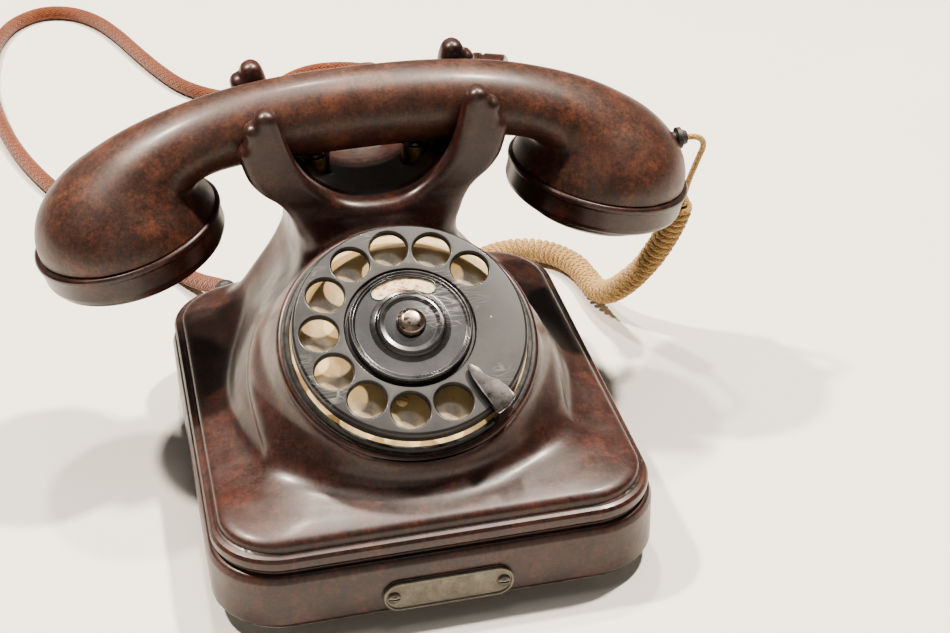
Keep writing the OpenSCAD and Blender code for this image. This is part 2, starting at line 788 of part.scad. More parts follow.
module gland(r, length) {
    rotate_extrude($fn = 32)
        polygon([[0, 0], [r + 1, 0], [r + 1, 1.6], [r, 2.2], [r * 0.8, length], [0, length]]);
}

module handset_gland() {
    color(black) translate([gland_at[0] - 6, hand_y, gland_at[2]]) rotate([0, 90, 0]) {
        translate([0, 0, 2.2]) gland(3, 3.8);
        translate([0, 0, -3]) cylinder(r = 2.5, h = 5.4, $fn = 24);
    }
}

module handset_lead() {
    color([0.75, 0.62, 0.4]) tube(lead_route, lead_d / 2, 8, [0, 1, 0]);
}

module handset_curl() {
    color([0.75, 0.62, 0.4]) tube(curl_route, curl_d / 2, 12, [1, 0, 0]);
}

module base_lead() {
    color([0.75, 0.62, 0.4]) tube(base_route, lead_d / 2, 8);
}

module base_gland() {
    color(black) translate([30, rear_in - 1.6, 10.6]) rotate([-90, 0, 0]) {
        cylinder(r = 4.4, h = 1.6, $fn = 32);
        cylinder(r = 3.6, h = body_rear + 1.8 - rear_in, $fn = 32);
        cylinder(r = 3, h = 91.6 - rear_in, $fn = 32);
    }
}

// Tapered sleeve where the line cord leaves the body
module line_relief() {
    color(black) translate([relief_start[0], body_rear, relief_start[2]]) rotate([-90, 0, 0])
        rotate_extrude($fn = 32)
            polygon([[0, rear_in - 3.2 - body_rear], [7, rear_in - 3.2 - body_rear],
                     [7, rear_in - 1.4 - body_rear], [5.1, rear_in - 1.4 - body_rear], [5.1, 0.2], [6, 0.4],
                     [6, 2.4], [5.4, 3.4], [4.2, 117 - body_rear], [0, 117 - body_rear]]);
}

module line_cord() {
    color([0.62, 0.28, 0.16]) {
        tube(line_route, line_d / 2, 10);
        tube(tail_route, line_d / 2, 10);
    }
}

module line_coil() {
    color([0.62, 0.28, 0.16]) translate(coil_c) rotate_extrude($fn = 72)
        translate([coil_r - line_d, 0.1]) square([2 * line_d, coil_rows * line_d]);
}

// Cord tie round one side of the coil
module line_tie() {
    color(black) translate([coil_c[0], coil_c[1] - coil_r, 0]) difference() {
        block([-3, -line_d - 1.4, 0], [3, line_d + 1.4, coil_rows * line_d + 1.5]);
        block([-4, -line_d - 0.4, -1], [4, line_d + 0.4, coil_rows * line_d + 0.5]);
    }
}

module at_plug() {
    translate(plug_at) rotate([0, 0, plug_turn]) rotate([0, 90, 0]) children();
}

// Round wall plug
module line_plug() {
    color(brown) at_plug() rotate_extrude($fn = 64)
        polygon([[0, 0], [5, 0], [6, 8], [9, 13], [13.6, 18], [14.8, 22], [14.8, 36], [14, 37],
                 [0, 37]]);
}

module plug_pins() {
    color(brass) at_plug() for (s = [-1, 1]) translate([0, s * 9.5, 37]) {
        cylinder(r = 2, h = 17, $fn = 32);
        translate([0, 0, 17]) sphere(r = 2, $fn = 32);
    }
}

housing();
neck();
cradle();
base_plate();
rubber_feet();
base_screws();
nameplate();
nameplate_screws();
dial_case();
dial_bezel();
number_plate();
finger_stop();
dial_screws();
finger_wheel();
card_holder();
number_card();
centre_knob();
dial_shaft();
main_gear();
impulse_cam();
impulse_contacts();
mainspring();
governor_spindle();
governor_weights();
governor_cup();
plunger_left();
plunger_right();
plunger_bushes();
spring_left();
spring_right();
hook_lever();
hook_bracket();
hook_contacts();
bell_frame();
bell_coils();
gong_left();
gong_right();
gong_screws();
clapper();
induction_coil();
capacitor();
terminal_block();
terminal_screws();
handset_body();
receiver_cap();
receiver_capsule();
receiver_diaphragm();
transmitter_cap();
transmitter_capsule();
handset_gland();
handset_lead();
handset_curl();
base_lead();
base_gland();
line_relief();
line_cord();
line_coil();
line_tie();
line_plug();
plug_pins();
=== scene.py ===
import json
import math

import bpy
import numpy as np
from mathutils import Matrix, Vector


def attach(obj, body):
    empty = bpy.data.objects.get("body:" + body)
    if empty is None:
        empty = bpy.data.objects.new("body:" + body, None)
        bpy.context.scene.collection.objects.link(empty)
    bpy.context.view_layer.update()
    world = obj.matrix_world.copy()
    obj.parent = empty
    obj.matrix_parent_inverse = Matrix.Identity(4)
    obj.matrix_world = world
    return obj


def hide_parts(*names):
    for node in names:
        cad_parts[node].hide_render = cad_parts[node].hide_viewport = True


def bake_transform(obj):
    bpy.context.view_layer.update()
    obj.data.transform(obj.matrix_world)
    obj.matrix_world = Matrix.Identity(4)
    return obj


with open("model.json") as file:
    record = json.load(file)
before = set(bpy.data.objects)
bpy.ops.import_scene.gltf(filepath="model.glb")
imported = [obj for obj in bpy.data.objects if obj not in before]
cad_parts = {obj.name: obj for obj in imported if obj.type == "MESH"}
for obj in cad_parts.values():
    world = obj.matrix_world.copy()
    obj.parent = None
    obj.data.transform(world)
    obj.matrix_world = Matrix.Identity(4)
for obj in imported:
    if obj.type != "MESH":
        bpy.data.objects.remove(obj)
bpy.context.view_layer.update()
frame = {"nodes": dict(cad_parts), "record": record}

# Shapes are worked out in millimetres and become metres where a mesh is made.
MM = 0.001

# ---- driving dimensions, as in the part's source ----

BODY_HW, BODY_FRONT, BODY_REAR = 74.8, -85.0, 87.4
SKIRT_Z = 6.0
DIAL_CENTRE, DIAL_TILT = (0, -33.7, 81), 30.5
SEAT_Z, SEAT_R = -9.0, 40.5
WHEEL_R, HOLE_PITCH_R, HOLE_R, HOLE_STEP, FIRST_HOLE = 39.0, 30.0, 6.3, 27.7, 52.0
HOLDER_R, WINDOW_R, WINDOW_A, WINDOW_W = 20.4, 15.6, 32.0, 5.2
HAND_Y, CAP_X, CAP_Z, CAP_TILT, CAP_R = 43.0, 86.2, 89.5, 13.4, 34.0
FORK_DY, FORK_T, SADDLE_Z, PLUNGER_X = 20.0, 9.0, 108.7, 18.0
PLATE_MID_Z = 12.6
LINE_D, CURL_D, THIN_D, STRAND_D, CURL_PITCH = 7.0, 10.4, 2.3, 2.7, 2.85


# ---- frames ----

def placed(x=0.0, y=0.0, z=0.0, *turns):
    """Matrix that moves a point to x, y, z after the turns, each an angle and an axis."""
    m = Matrix.Translation((x, y, z))
    for angle, axis in turns:
        m = m @ Matrix.Rotation(math.radians(angle), 4, axis)
    return np.array(m)


IN_DIAL = placed(*DIAL_CENTRE, (DIAL_TILT, "X"))
IN_CAP = {side: placed(side * CAP_X, HAND_Y, CAP_Z, (side * CAP_TILT, "Y")) for side in (-1, 1)}


def moved(points, matrix):
    points = np.asarray(points, float)
    return points @ matrix[:3, :3].T + matrix[:3, 3]


def polar(r, clockwise):
    """Point on the dial at radius r and a clockwise angle from the top."""
    a = math.radians(clockwise)
    return r * math.sin(a), r * math.cos(a)


def hole_places():
    """Middles of the ten finger holes on the dial."""
    return [polar(HOLE_PITCH_R, FIRST_HOLE - i * HOLE_STEP) for i in range(10)]


def smooth_step(t):
    t = np.clip(t, 0, 1)
    return t * t * (3 - 2 * t)


# ---- camera ----

CAMERA_AT = (-0.08637, -0.52583, 0.40469)
CAMERA_LENS, SENSOR_WIDTH = 68.887, 36
# How far the camera swings round, tips down and rolls, in degrees
CAMERA_PAN, CAMERA_TIP, CAMERA_ROLL = -12.382, 57.322, -1.058


def make_camera():
    data = bpy.data.cameras.new("camera")
    data.lens, data.sensor_width = CAMERA_LENS, SENSOR_WIDTH
    data.clip_start, data.clip_end = 0.01, 50
    camera = bpy.data.objects.new("camera", data)
    bpy.context.scene.collection.objects.link(camera)
    turn = Matrix.Rotation(math.radians(CAMERA_PAN), 4, "Z")
    turn = turn @ Matrix.Rotation(math.radians(CAMERA_TIP), 4, "X")
    turn = turn @ Matrix.Rotation(math.radians(CAMERA_ROLL), 4, "Z")
    camera.matrix_world = Matrix.Translation(CAMERA_AT) @ turn
    bpy.context.scene.camera = camera


# ---- curves ----

def monotone(xs, ys):
    """Smooth curve through the points that never overshoots them."""
    xs, ys = np.array(xs, float), np.array(ys, float)
    step, slope = np.diff(xs), np.diff(ys) / np.diff(xs)
    tangent = np.zeros(len(xs))
    tangent[0], tangent[-1] = slope[0], slope[-1]
    for i in range(1, len(xs) - 1):
        if slope[i - 1] * slope[i] > 0:
            a, b = 2 * step[i] + step[i - 1], step[i] + 2 * step[i - 1]
            tangent[i] = (a + b) / (a / slope[i - 1] + b / slope[i])

    def curve(x):
        x = np.clip(x, xs[0], xs[-1])
        i = np.clip(np.searchsorted(xs, x, side="right") - 1, 0, len(xs) - 2)
        h, t = step[i], (x - xs[i]) / step[i]
        return (ys[i] * (1 + 2 * t) * (1 - t) ** 2 + ys[i + 1] * t * t * (3 - 2 * t)
                + h * tangent[i] * t * (1 - t) ** 2 + h * tangent[i + 1] * t * t * (t - 1))

    return curve


def catmull(points, per_span, closed=False):
    """Curve through the points, with per_span steps between each pair."""
    p = np.asarray(points, float)
    n = len(p)
    spans = n if closed else n - 1
    out = []
    for i in range(spans):
        if closed:
            a, b, c, d = (p[(i + k) % n] for k in (-1, 0, 1, 2))
        else:
            b, c = p[i], p[i + 1]
            a = p[i - 1] if i else 2 * b - c
            d = p[i + 2] if i + 2 < n else 2 * c - b
        for t in np.arange(per_span) / per_span:
            out.append(0.5 * (2 * b + (c - a) * t + (2 * a - 5 * b + 4 * c - d) * t * t
                              + (3 * b - a - 3 * c + d) * t ** 3))
    if not closed:
        out.append(p[-1])
    return np.array(out)


def distances(line):
    """How far along the line each of its points is."""
    return np.concatenate([[0], np.cumsum(np.linalg.norm(np.diff(line, axis=0), axis=1))])


def directions(line):
    """Unit vector along the line at each of its points."""
    ahead = np.gradient(line, axis=0)
    return ahead / np.linalg.norm(ahead, axis=1)[:, None]


def sideways(ahead, start):
    """Unit vector across the line at each point, carried along from start without twist."""
    across, v = np.zeros_like(ahead), np.array(start, float)
    for i, t in enumerate(ahead):
        v = v - (v @ t) * t
        v /= np.linalg.norm(v)
        across[i] = v
    return across


def spaced(line, step):
    """The line again with its points step apart."""
    along = distances(line)
    n = max(2, int(round(along[-1] / step)) + 1)
    at = np.linspace(0, along[-1], n)
    return np.stack([np.interp(at, along, line[:, k]) for k in range(line.shape[1])], 1)


def length_of(line):
    return float(np.linalg.norm(np.diff(line, axis=0), axis=1).sum())


def rounded(corners, radius, closed=True, steps=5):
    """Outline with each corner replaced by an arc. A corner may carry a radius of its own."""
    out, n = [], len(corners)
    for i, corner in enumerate(corners):
        p = np.array(corner[:2], float)
        r = corner[2] if len(corner) > 2 else radius
        if r == 0 or (not closed and i in (0, n - 1)):
            out.append(p)
            continue
        a, b = (np.array(corners[k % n][:2], float) - p for k in (i - 1, i + 1))
        la, lb = np.linalg.norm(a), np.linalg.norm(b)
        a, b = a / la, b / lb
        half = math.acos(np.clip(a @ b, -1, 1)) / 2
        if half > 1.5:
            out.append(p)
            continue
        cut = min(r / math.tan(half), 0.45 * la, 0.45 * lb)
        r = cut * math.tan(half)
        centre = p + (a + b) / np.linalg.norm(a + b) * r / math.sin(half)
        start, end = p + a * cut - centre, p + b * cut - centre
        for t in np.linspace(0, 1, steps + 1):
            v = start * (1 - t) + end * t
            out.append(centre + v / np.linalg.norm(v) * r)
    return np.array(out)


# ---- meshes ----

def piece(name, points, faces, body, look, replaces=(), sharp=35, uv=None, slot=None):
    """Mesh object from points in millimetres, in a named look, riding on a body."""
    mesh = bpy.data.meshes.new(name)
    mesh.from_pydata((np.asarray(points) * MM).tolist(), [], [tuple(f) for f in faces])
    if uv is not None:
        layer = mesh.uv_layers.new(name="along_and_round")
        layer.data.foreach_set("uv", np.asarray(uv, np.float32).ravel())
    mesh.shade_smooth()
    mesh.set_sharp_from_angle(angle=math.radians(sharp))
    obj = bpy.data.objects.new(name, mesh)
    bpy.context.scene.collection.objects.link(obj)
    obj.data.materials.append(LOOKS[look])
    if body:
        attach(obj, body)
    if replaces:
        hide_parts(*replaces)
    slot or look
    return obj


def dial_piece(name, mesh, look, replaces=(), body="dial_rotor", sharp=35):
    """Piece from points and faces in the dial's frame."""
    points, faces = mesh
    return piece(name, moved(points, IN_DIAL), faces, body, look, replaces, sharp)


def skin(rings, closed=False, caps=True):
    """Points and faces over rings of equally many points."""
    rings = np.asarray(rings, float)
    n, m = rings.shape[:2]
    faces = []
    for k in range(n if closed else n - 1):
        a, b = k * m, (k + 1) % n * m
        faces += [(a + i, a + (i + 1) % m, b + (i + 1) % m, b + i) for i in range(m)]
    if caps and not closed:
        faces += [tuple(range(m - 1, -1, -1)), tuple((n - 1) * m + i for i in range(m))]
    return rings.reshape(-1, 3), faces


def lathe(profile, segments=128):
    """Solid turned round the z axis from a closed outline of radius and height."""
    profile = np.asarray(profile, float)
    on_axis = profile[:, 0] < 1e-6
    points, faces, index = [], [], []
    angles = np.arange(segments) * 2 * math.pi / segments
    for (r, z), centre in zip(profile, on_axis):
        index.append(len(points))
        if centre:
            points.append((0, 0, z))
        else:
            points += [(r * math.cos(a), r * math.sin(a), z) for a in angles]
    n = len(profile)
    for k in range(n):
        a, b = index[k], index[(k + 1) % n]
        here, there = on_axis[k], on_axis[(k + 1) % n]
        for i in range(segments):
            j = (i + 1) % segments
            if here and there:
                break
            if here:
                faces.append((a, b + j, b + i))
            elif there:
                faces.append((a + i, a + j, b))
            else:
                faces.append((a + i, a + j, b + j, b + i))
    return np.array(points, float), faces


def tube(line, radius, sides, up=(0, 0, 1)):
    """Round tube along a line, and the turns and lengths at its corners for a pattern."""
    line = np.asarray(line, float)
    n = len(line)
    radius = np.broadcast_to(np.asarray(radius, float), (n,))
    ahead = directions(line)
    normal = sideways(ahead, up)
    side = np.cross(ahead, normal)
    a = np.arange(sides) * 2 * math.pi / sides
    rings = (line[:, None] + radius[:, None, None]
             * (np.cos(a)[None, :, None] * normal[:, None] + np.sin(a)[None, :, None] * side[:, None]))
    points, faces = skin(rings)
    along = distances(line)
    uv = []
    for k in range(n - 1):
        for i in range(sides):
            uv += [(along[k], i / sides), (along[k], (i + 1) / sides),
                   (along[k + 1], (i + 1) / sides), (along[k + 1], i / sides)]
    uv += [(along[0], 0)] * sides + [(along[-1], 0)] * sides
    return points, faces, np.array(uv) * (MM, 1)


def boolean(solid, cutters, how="DIFFERENCE"):
    """Points and faces of a solid after it is cut by, or joined with, the others."""
    made = []
    for points, faces in (solid, *cutters):
        mesh = bpy.data.meshes.new("operand")
        mesh.from_pydata(np.asarray(points).tolist(), [], [tuple(f) for f in faces])
        made.append(bpy.data.objects.new("operand", mesh))
        bpy.context.scene.collection.objects.link(made[-1])
    for cutter in made[1:]:
        modifier = made[0].modifiers.new("cut", "BOOLEAN")
        modifier.operation, modifier.solver, modifier.object = how, "MANIFOLD", cutter
    graph = bpy.context.evaluated_depsgraph_get()
    result = made[0].evaluated_get(graph).to_mesh()
    points = np.array([v.co for v in result.vertices])
    faces = [tuple(p.vertices) for p in result.polygons]
    made[0].evaluated_get(graph).to_mesh_clear()
    for o in made:
        mesh = o.data
        bpy.data.objects.remove(o)
        bpy.data.meshes.remove(mesh)
    return points, faces


# ---- shapes given by a distance ----

def smooth_min(a, b, k):
    h = np.clip(0.5 + 0.5 * (b - a) / k, 0, 1)
    return b + (a - b) * h - k * h * (1 - h)


def smooth_max(a, b, k):
    return -smooth_min(-a, -b, k)


def gradient(shape, p, eps=0.04):
    g = np.empty_like(p)
    for k in range(3):
        step = np.zeros(3)
        step[k] = eps
        g[:, k] = (shape(p + step) - shape(p - step)) / (2 * eps)
    return g


CORNERS = [(i, j, k) for i in (0, 1) for j in (0, 1) for k in (0, 1)]


def sampled(shape, axes):
    """The distance at every corner of a grid, a layer at a time."""
    size = [len(a) for a in axes]
    field = np.empty(size, np.float32)
    layer = np.stack(np.meshgrid(axes[0], axes[1], indexing="ij"), -1).reshape(-1, 2)
    for k, z in enumerate(axes[2]):
        p = np.concatenate([layer, np.full((len(layer), 1), z)], 1)
        field[:, :, k] = shape(p).reshape(size[0], size[1])
    return field


def crossed_cells(inside):
    """Cells with some corners inside and some outside."""
    size = inside.shape
    count = sum(inside[i:size[0] - 1 + i, j:size[1] - 1 + j, k:size[2] - 1 + k].astype(np.int8)
                for i, j, k in CORNERS)
    return np.argwhere((count > 0) & (count < 8))


def cell_points(field, cells):
    """Mean of the places where the surface crosses each cell's edges, in cells."""
    value = {c: field[tuple((cells + c).T)] for c in CORNERS}
    total, met = np.zeros((len(cells), 3)), np.zeros(len(cells))
    for a in CORNERS:
        for axis in range(3):
            if a[axis]:
                continue
            b = tuple(v + (i == axis) for i, v in enumerate(a))
            fa, fb = value[a], value[b]
            cross = (fa < 0) != (fb < 0)
            t = np.where(cross, fa / np.where(cross, fa - fb, 1), 0)
            point = np.array(a, float)[None] + t[:, None] * (np.eye(3)[axis])[None]
            total += np.where(cross[:, None], point, 0)
            met += cross
    return cells + total / met[:, None]


def cell_faces(inside, cells):
    """A quad over every grid edge that the surface crosses, from the four cells round it."""
    size = inside.shape
    index = np.full([s - 1 for s in size], -1, np.int32)
    index[tuple(cells.T)] = np.arange(len(cells))
    faces = []
    for axis in range(3):
        u, v = (axis + 1) % 3, (axis + 2) % 3
        near = [slice(None)] * 3
        far = [slice(None)] * 3
        near[axis], far[axis] = slice(None, -1), slice(1, None)
        change = inside[tuple(near)] != inside[tuple(far)]
        at = np.argwhere(change)
        at = at[(at[:, u] > 0) & (at[:, v] > 0) & (at[:, u] < size[u] - 1) & (at[:, v] < size[v] - 1)]
        out = inside[tuple(near)][tuple(at.T)]
        quad = []
        for du, dv in ((-1, -1), (0, -1), (0, 0), (-1, 0)):
            c = at.copy()
            c[:, u] += du
            c[:, v] += dv
            quad.append(index[tuple(c.T)])
        quad = np.stack(quad, 1)
        quad[~out] = quad[~out][:, ::-1]
        faces.append(quad)
    return np.concatenate(faces)


def surface(shape, low, high, cell):
    """Even quads over the place where shape(points) is zero, drawn exactly onto it."""
    field = sampled(shape, [np.arange(a, b + cell, cell) for a, b in zip(low, high)])
    inside = field < 0
    cells = crossed_cells(inside)
    points = np.array(low, float) + cell * cell_points(field, cells)
    faces = cell_faces(inside, cells)
    longest_move, rounds = 0.5, 4
    for _ in range(rounds):
        f, g = shape(points), gradient(shape, points)
        points -= np.clip(f / np.maximum((g * g).sum(1), 1e-3), -longest_move, longest_move)[:, None] * g
    return points, faces.tolist()


# ---- materials ----

class Look:
    """Node material around one Principled shader."""

    def __init__(self, name, **fixed):
        self.material = bpy.data.materials.new(name)
        self.material.use_nodes = True
        self.tree = self.material.node_tree
        self.shader = next(n for n in self.tree.nodes if n.type == "BSDF_PRINCIPLED")
        self.where = self.node("ShaderNodeTexCoord").outputs["Object"]
        for key, value in fixed.items():
            self.shader.inputs[key.replace("_", " ")].default_value = value

    def node(self, kind, inputs=(), **settings):
        n = self.tree.nodes.new(kind)
        for key, value in settings.items():
            setattr(n, key, value)
        for key, value in dict(inputs).items():
            self.feed(n.inputs[key], value)
        return n

    def feed(self, socket, value):
        if isinstance(value, bpy.types.NodeSocket):
            self.tree.links.new(value, socket)
        elif isinstance(value, tuple) and len(value) == 3 and socket.type == "RGBA":
            socket.default_value = (*value, 1)
        else:
            socket.default_value = value

    def noise(self, scale, detail=4, roughness=0.6, at=None, distortion=0.0):
        return self.node("ShaderNodeTexNoise", {
            "Vector": at or self.where, "Scale": scale, "Detail": detail,
            "Roughness": roughness, "Distortion": distortion}).outputs["Fac"]

    def stretched(self, scale, turn=(0, 0, 0), shift=(0, 0, 0)):
        return self.node("ShaderNodeMapping", {
            "Vector": self.where, "Scale": scale, "Rotation": turn, "Location": shift}).outputs[0]

    def cells(self, scale, feature="DISTANCE_TO_EDGE", at=None):
        return self.node("ShaderNodeTexVoronoi", {"Vector": at or self.where, "Scale": scale},
                         feature=feature).outputs["Distance"]

    def patches(self, low, high, scale, detail=4, roughness=0.6, to_low=0.0, to_high=1.0):
        """Noise carried from low..high to to_low..to_high."""
        return self.span(self.noise(scale, detail, roughness), low, high, to_low, to_high)

    def span(self, value, low, high, to_low=0.0, to_high=1.0):
        """Carries value from low..high to to_low..to_high, held at the ends."""
        return self.node("ShaderNodeMapRange", {
            "Value": value, "From Min": low, "From Max": high,
            "To Min": to_low, "To Max": to_high}).outputs[0]

    def sum(self, a, b, operation="ADD"):
        n = self.node("ShaderNodeMath", operation=operation)
        self.feed(n.inputs[0], a)
        self.feed(n.inputs[1], b)
        return n.outputs[0]

    def times(self, a, b):
        return self.sum(a, b, "MULTIPLY")

    def sine(self, a):
        return self.node("ShaderNodeMath", {0: a}, operation="SINE").outputs[0]

    def mix(self, share, a, b):
        n = self.node("ShaderNodeMix", data_type="RGBA")
        self.feed(n.inputs[0], share)
        self.feed(n.inputs[6], a)
        self.feed(n.inputs[7], b)
        return n.outputs[2]

    def edges(self, radius=0.0004, low=0.02, high=0.2):
        """1 on sharp edges, where hands and cloths wear the surface."""
        soft = self.node("ShaderNodeBevel", {"Radius": radius}, samples=6).outputs[0]
        hard = self.node("ShaderNodeNewGeometry").outputs["Normal"]
        agree = self.node("ShaderNodeVectorMath", {0: soft, 1: hard}, operation="DOT_PRODUCT")
        return self.span(agree.outputs["Value"], 1 - low, 1 - high)

    def upward(self):
        """1 where the surface faces up and dust settles."""
        parts = self.node("ShaderNodeSeparateXYZ", {
            "Vector": self.node("ShaderNodeNewGeometry").outputs["Normal"]})
        return self.span(parts.outputs["Z"], 0.3, 1.0)

    def scratches(self, scale, turn, width=0.02):
        """Thin straight marks in patches."""
        at = self.stretched((scale * 0.12, scale, scale), turn)
        line = self.span(self.cells(1.0, at=at), 0.0, width, 1.0, 0.0)
        return self.times(line, self.span(self.noise(38, 2), 0.56, 0.68))

    def bump(self, height, distance, strength):
        return self.node("ShaderNodeBump", {
            "Height": height, "Distance": distance, "Strength": strength}).outputs[0]

    def finish(self, color, roughness, normal=None):
        self.feed(self.shader.inputs["Base Color"], color)
        self.feed(self.shader.inputs["Roughness"], roughness)
        if normal is not None:
            self.feed(self.shader.inputs["Normal"], normal)
        return self.material


def bakelite(name, dark, middle, red, haze=0.5, rough_low=0.27, rough_high=0.43):
    """Moulded phenolic with wood-flour mottling, a worn satin skin and dust."""
    look = Look(name, IOR=1.52, Coat_Weight=0.12, Coat_Roughness=0.2)
    cloud = look.noise(24, 3, 0.55, distortion=0.6)
    blotch = look.noise(150, 5, 0.7)
    grain = look.noise(620, 4, 0.75)
    fine = look.noise(1300, 3, 0.7, look.stretched((1, 1, 1), shift=(1, 4, 2)))
    mottle = look.sum(look.times(cloud, 0.22), look.sum(look.times(blotch, 0.24), look.times(grain, 0.3)))
    mottle = look.sum(mottle, look.times(fine, 0.24))
    color = look.mix(look.span(mottle, 0.45, 0.56), dark, middle)
    rust = look.sum(look.times(look.noise(95, 5, 0.75, look.stretched((1, 1, 1), shift=(3, 7, 1))), 0.6),
                    look.times(look.noise(700, 4, 0.85), 0.4))
    color = look.mix(look.times(look.span(rust, 0.5, 0.62), 0.75), color, red)
    fleck = look.span(look.noise(900, 2, 0.5, look.stretched((1, 1, 1), shift=(5, 0, 2))), 0.66, 0.74)
    color = look.mix(look.times(fleck, 0.55), color, (0.012, 0.006, 0.005))
    scratch = look.sum(look.scratches(420, (0.3, 0.5, 0.9)),
                       look.scratches(300, (1.2, 0.1, 2.2)), "MAXIMUM")
    dust = look.times(look.upward(), look.patches(0.35, 0.75, 60, 5, 0.75))
    color = look.mix(look.times(dust, 0.09 * haze), color, (0.42, 0.36, 0.31))
    color = look.mix(look.times(scratch, 0.12), color, (0.3, 0.17, 0.12))
    speck = look.span(look.cells(70, "F1"), 0.035, 0.02)
    speck = look.times(speck, look.patches(0.57, 0.6, 21, 1))
    color = look.mix(look.times(speck, 0.6), color, (0.5, 0.42, 0.36))
    smear = look.noise(34, 5, 0.7, look.stretched((1, 2.2, 1), (0.2, 0.4, 0.6)))
    rough = look.sum(look.span(smear, 0.3, 0.7, rough_low, rough_high),
                     look.sum(look.times(scratch, 0.08), look.times(dust, 0.1)))
    height = look.sum(look.times(look.noise(260, 2, 0.5), 0.5),
                      look.sum(look.times(grain, 0.22), look.times(scratch, -0.12)))
    return look.finish(color, rough, look.bump(height, 0.00008, 0.55))


def enamel(name, dark, grey, rough_low, rough_high):
    """Black stove enamel rubbed grey by fingers, bare metal at its edges."""
    look = Look(name, IOR=1.48, Coat_Weight=0.12, Coat_Roughness=0.12)
    wear = (0.55, 0.53, 0.5)
    rub = look.noise(55, 5, 0.7)
    fine = look.noise(1500, 2, 0.6)
    color = look.mix(look.span(rub, 0.35, 0.7), dark, grey)
    nick = look.times(look.edges(), look.patches(0.3, 0.55, 300, 3, 0.7))
    color = look.mix(look.times(nick, 0.85), color, wear)
    scratch = look.sum(look.scratches(500, (0.5, 0.2, 0.4), 0.03),
                       look.scratches(380, (0.5, 0.1, 2.0), 0.03), "MAXIMUM")
    color = look.mix(look.times(scratch, 0.35), color, wear)
    pit = look.span(look.cells(130, "F1"), 0.05, 0.03)
    pit = look.times(pit, look.patches(0.55, 0.6, 40, 1))
    color = look.mix(look.times(pit, 0.6), color, (0.6, 0.56, 0.5))
    rough = look.sum(look.span(rub, 0.3, 0.7, rough_low, rough_high), look.times(scratch, 0.15))
    height = look.sum(look.times(fine, 0.25), look.sum(look.times(rub, 0.4), look.times(scratch, -0.3)))
    return look.finish(color, rough, look.bump(height, 0.00004, 0.5))


def metal(name, clean, tarnish, rough_low, rough_high, spots=0.4):
    """Plated or bare metal with tarnish in blotches, dark spots and brighter edges."""
    look = Look(name, Metallic=1.0)
    blotch = look.noise(160, 5, 0.7)
    color = look.mix(look.span(blotch, 0.38, 0.66), clean, tarnish)
    dark = look.times(look.patches(0.56, 0.66, 420, 3, 0.7), spots)
    color = look.mix(dark, color, tuple(0.15 * v for v in tarnish))
    bright = look.times(look.edges(), 0.7)
    color = look.mix(bright, color, tuple(min(1, 0.35 + 1.1 * v) for v in clean))
    rough = look.patches(0.3, 0.7, 240, 4, 0.7, to_low=rough_low, to_high=rough_high)
    height = look.sum(look.times(look.noise(900, 3, 0.6), 0.6), look.times(dark, -1.0))
    return look.finish(color, rough, look.bump(height, 0.00004, 0.6))


def number_enamel(name):
    """Cream enamel plate, rubbed grey round the worn figure under each finger hole."""
    look = Look(name, IOR=1.5, Coat_Weight=0.3, Coat_Roughness=0.15)
    cream, gold = (0.72, 0.55, 0.31), (0.60, 0.40, 0.17)
    color = look.mix(look.patches(0.35, 0.7, 70, 5, 0.7), cream, gold)
    local = look.node("ShaderNodeVectorRotate", {
        "Vector": look.where, "Center": tuple(MM * v for v in DIAL_CENTRE),
        "Axis": (1, 0, 0), "Angle": math.radians(-DIAL_TILT)}).outputs[0]
    local = look.node("ShaderNodeVectorMath", {0: local, 1: tuple(MM * v for v in DIAL_CENTRE)},
                      operation="SUBTRACT").outputs[0]
    stain = None
    for x, y in hole_places():
        away = look.node("ShaderNodeVectorMath", {0: local, 1: (x * MM, y * MM, (SEAT_Z + 1.4) * MM)},
                         operation="DISTANCE").outputs["Value"]
        stain = away if stain is None else look.sum(stain, away, "MINIMUM")
    ragged = look.sum(stain, look.times(look.patches(0.3, 0.7, 650, 3, 0.7, to_low=-1, to_high=1), 0.0007))
    worn = look.span(ragged, 0.0016, 0.0032, 1, 0)
    color = look.mix(look.times(worn, 0.72), color, (0.21, 0.15, 0.09))
    rub = look.times(look.span(ragged, 0.0035, 0.0062, 1, 0), look.patches(0.42, 0.62, 210, 4, 0.7))
    color = look.mix(look.times(rub, 0.5), color, (0.46, 0.42, 0.36))
    rim = look.patches(0.62, 0.7, 500, 4, 0.8)
    color = look.mix(look.times(rim, 0.5), color, (0.2, 0.12, 0.06))
    rough = look.patches(0.3, 0.7, 120, 4, 0.7, to_low=0.3, to_high=0.5)
    return look.finish(color, rough, look.bump(look.noise(700, 3), 0.00003, 0.5))


def card_paper(name):
    """Aged paper with rust spots and foxing."""
    look = Look(name, Specular_IOR_Level=0.3)
    color = look.mix(look.patches(0.35, 0.7, 220, 5, 0.7), (0.86, 0.76, 0.58), (0.72, 0.56, 0.36))
    rust = look.span(look.noise(330, 4, 0.75, look.stretched((1, 2, 1), shift=(2, 1, 4))), 0.53, 0.6)
    color = look.mix(look.times(rust, 0.85), color, (0.45, 0.17, 0.04))
    fibre = look.noise(2600, 3, 0.7)
    color = look.mix(look.times(look.span(fibre, 0.55, 0.7), 0.2), color, (0.55, 0.45, 0.3))
    return look.finish(color, look.span(fibre, 0.3, 0.7, 0.7, 0.9), look.bump(fibre, 0.00004, 0.7))


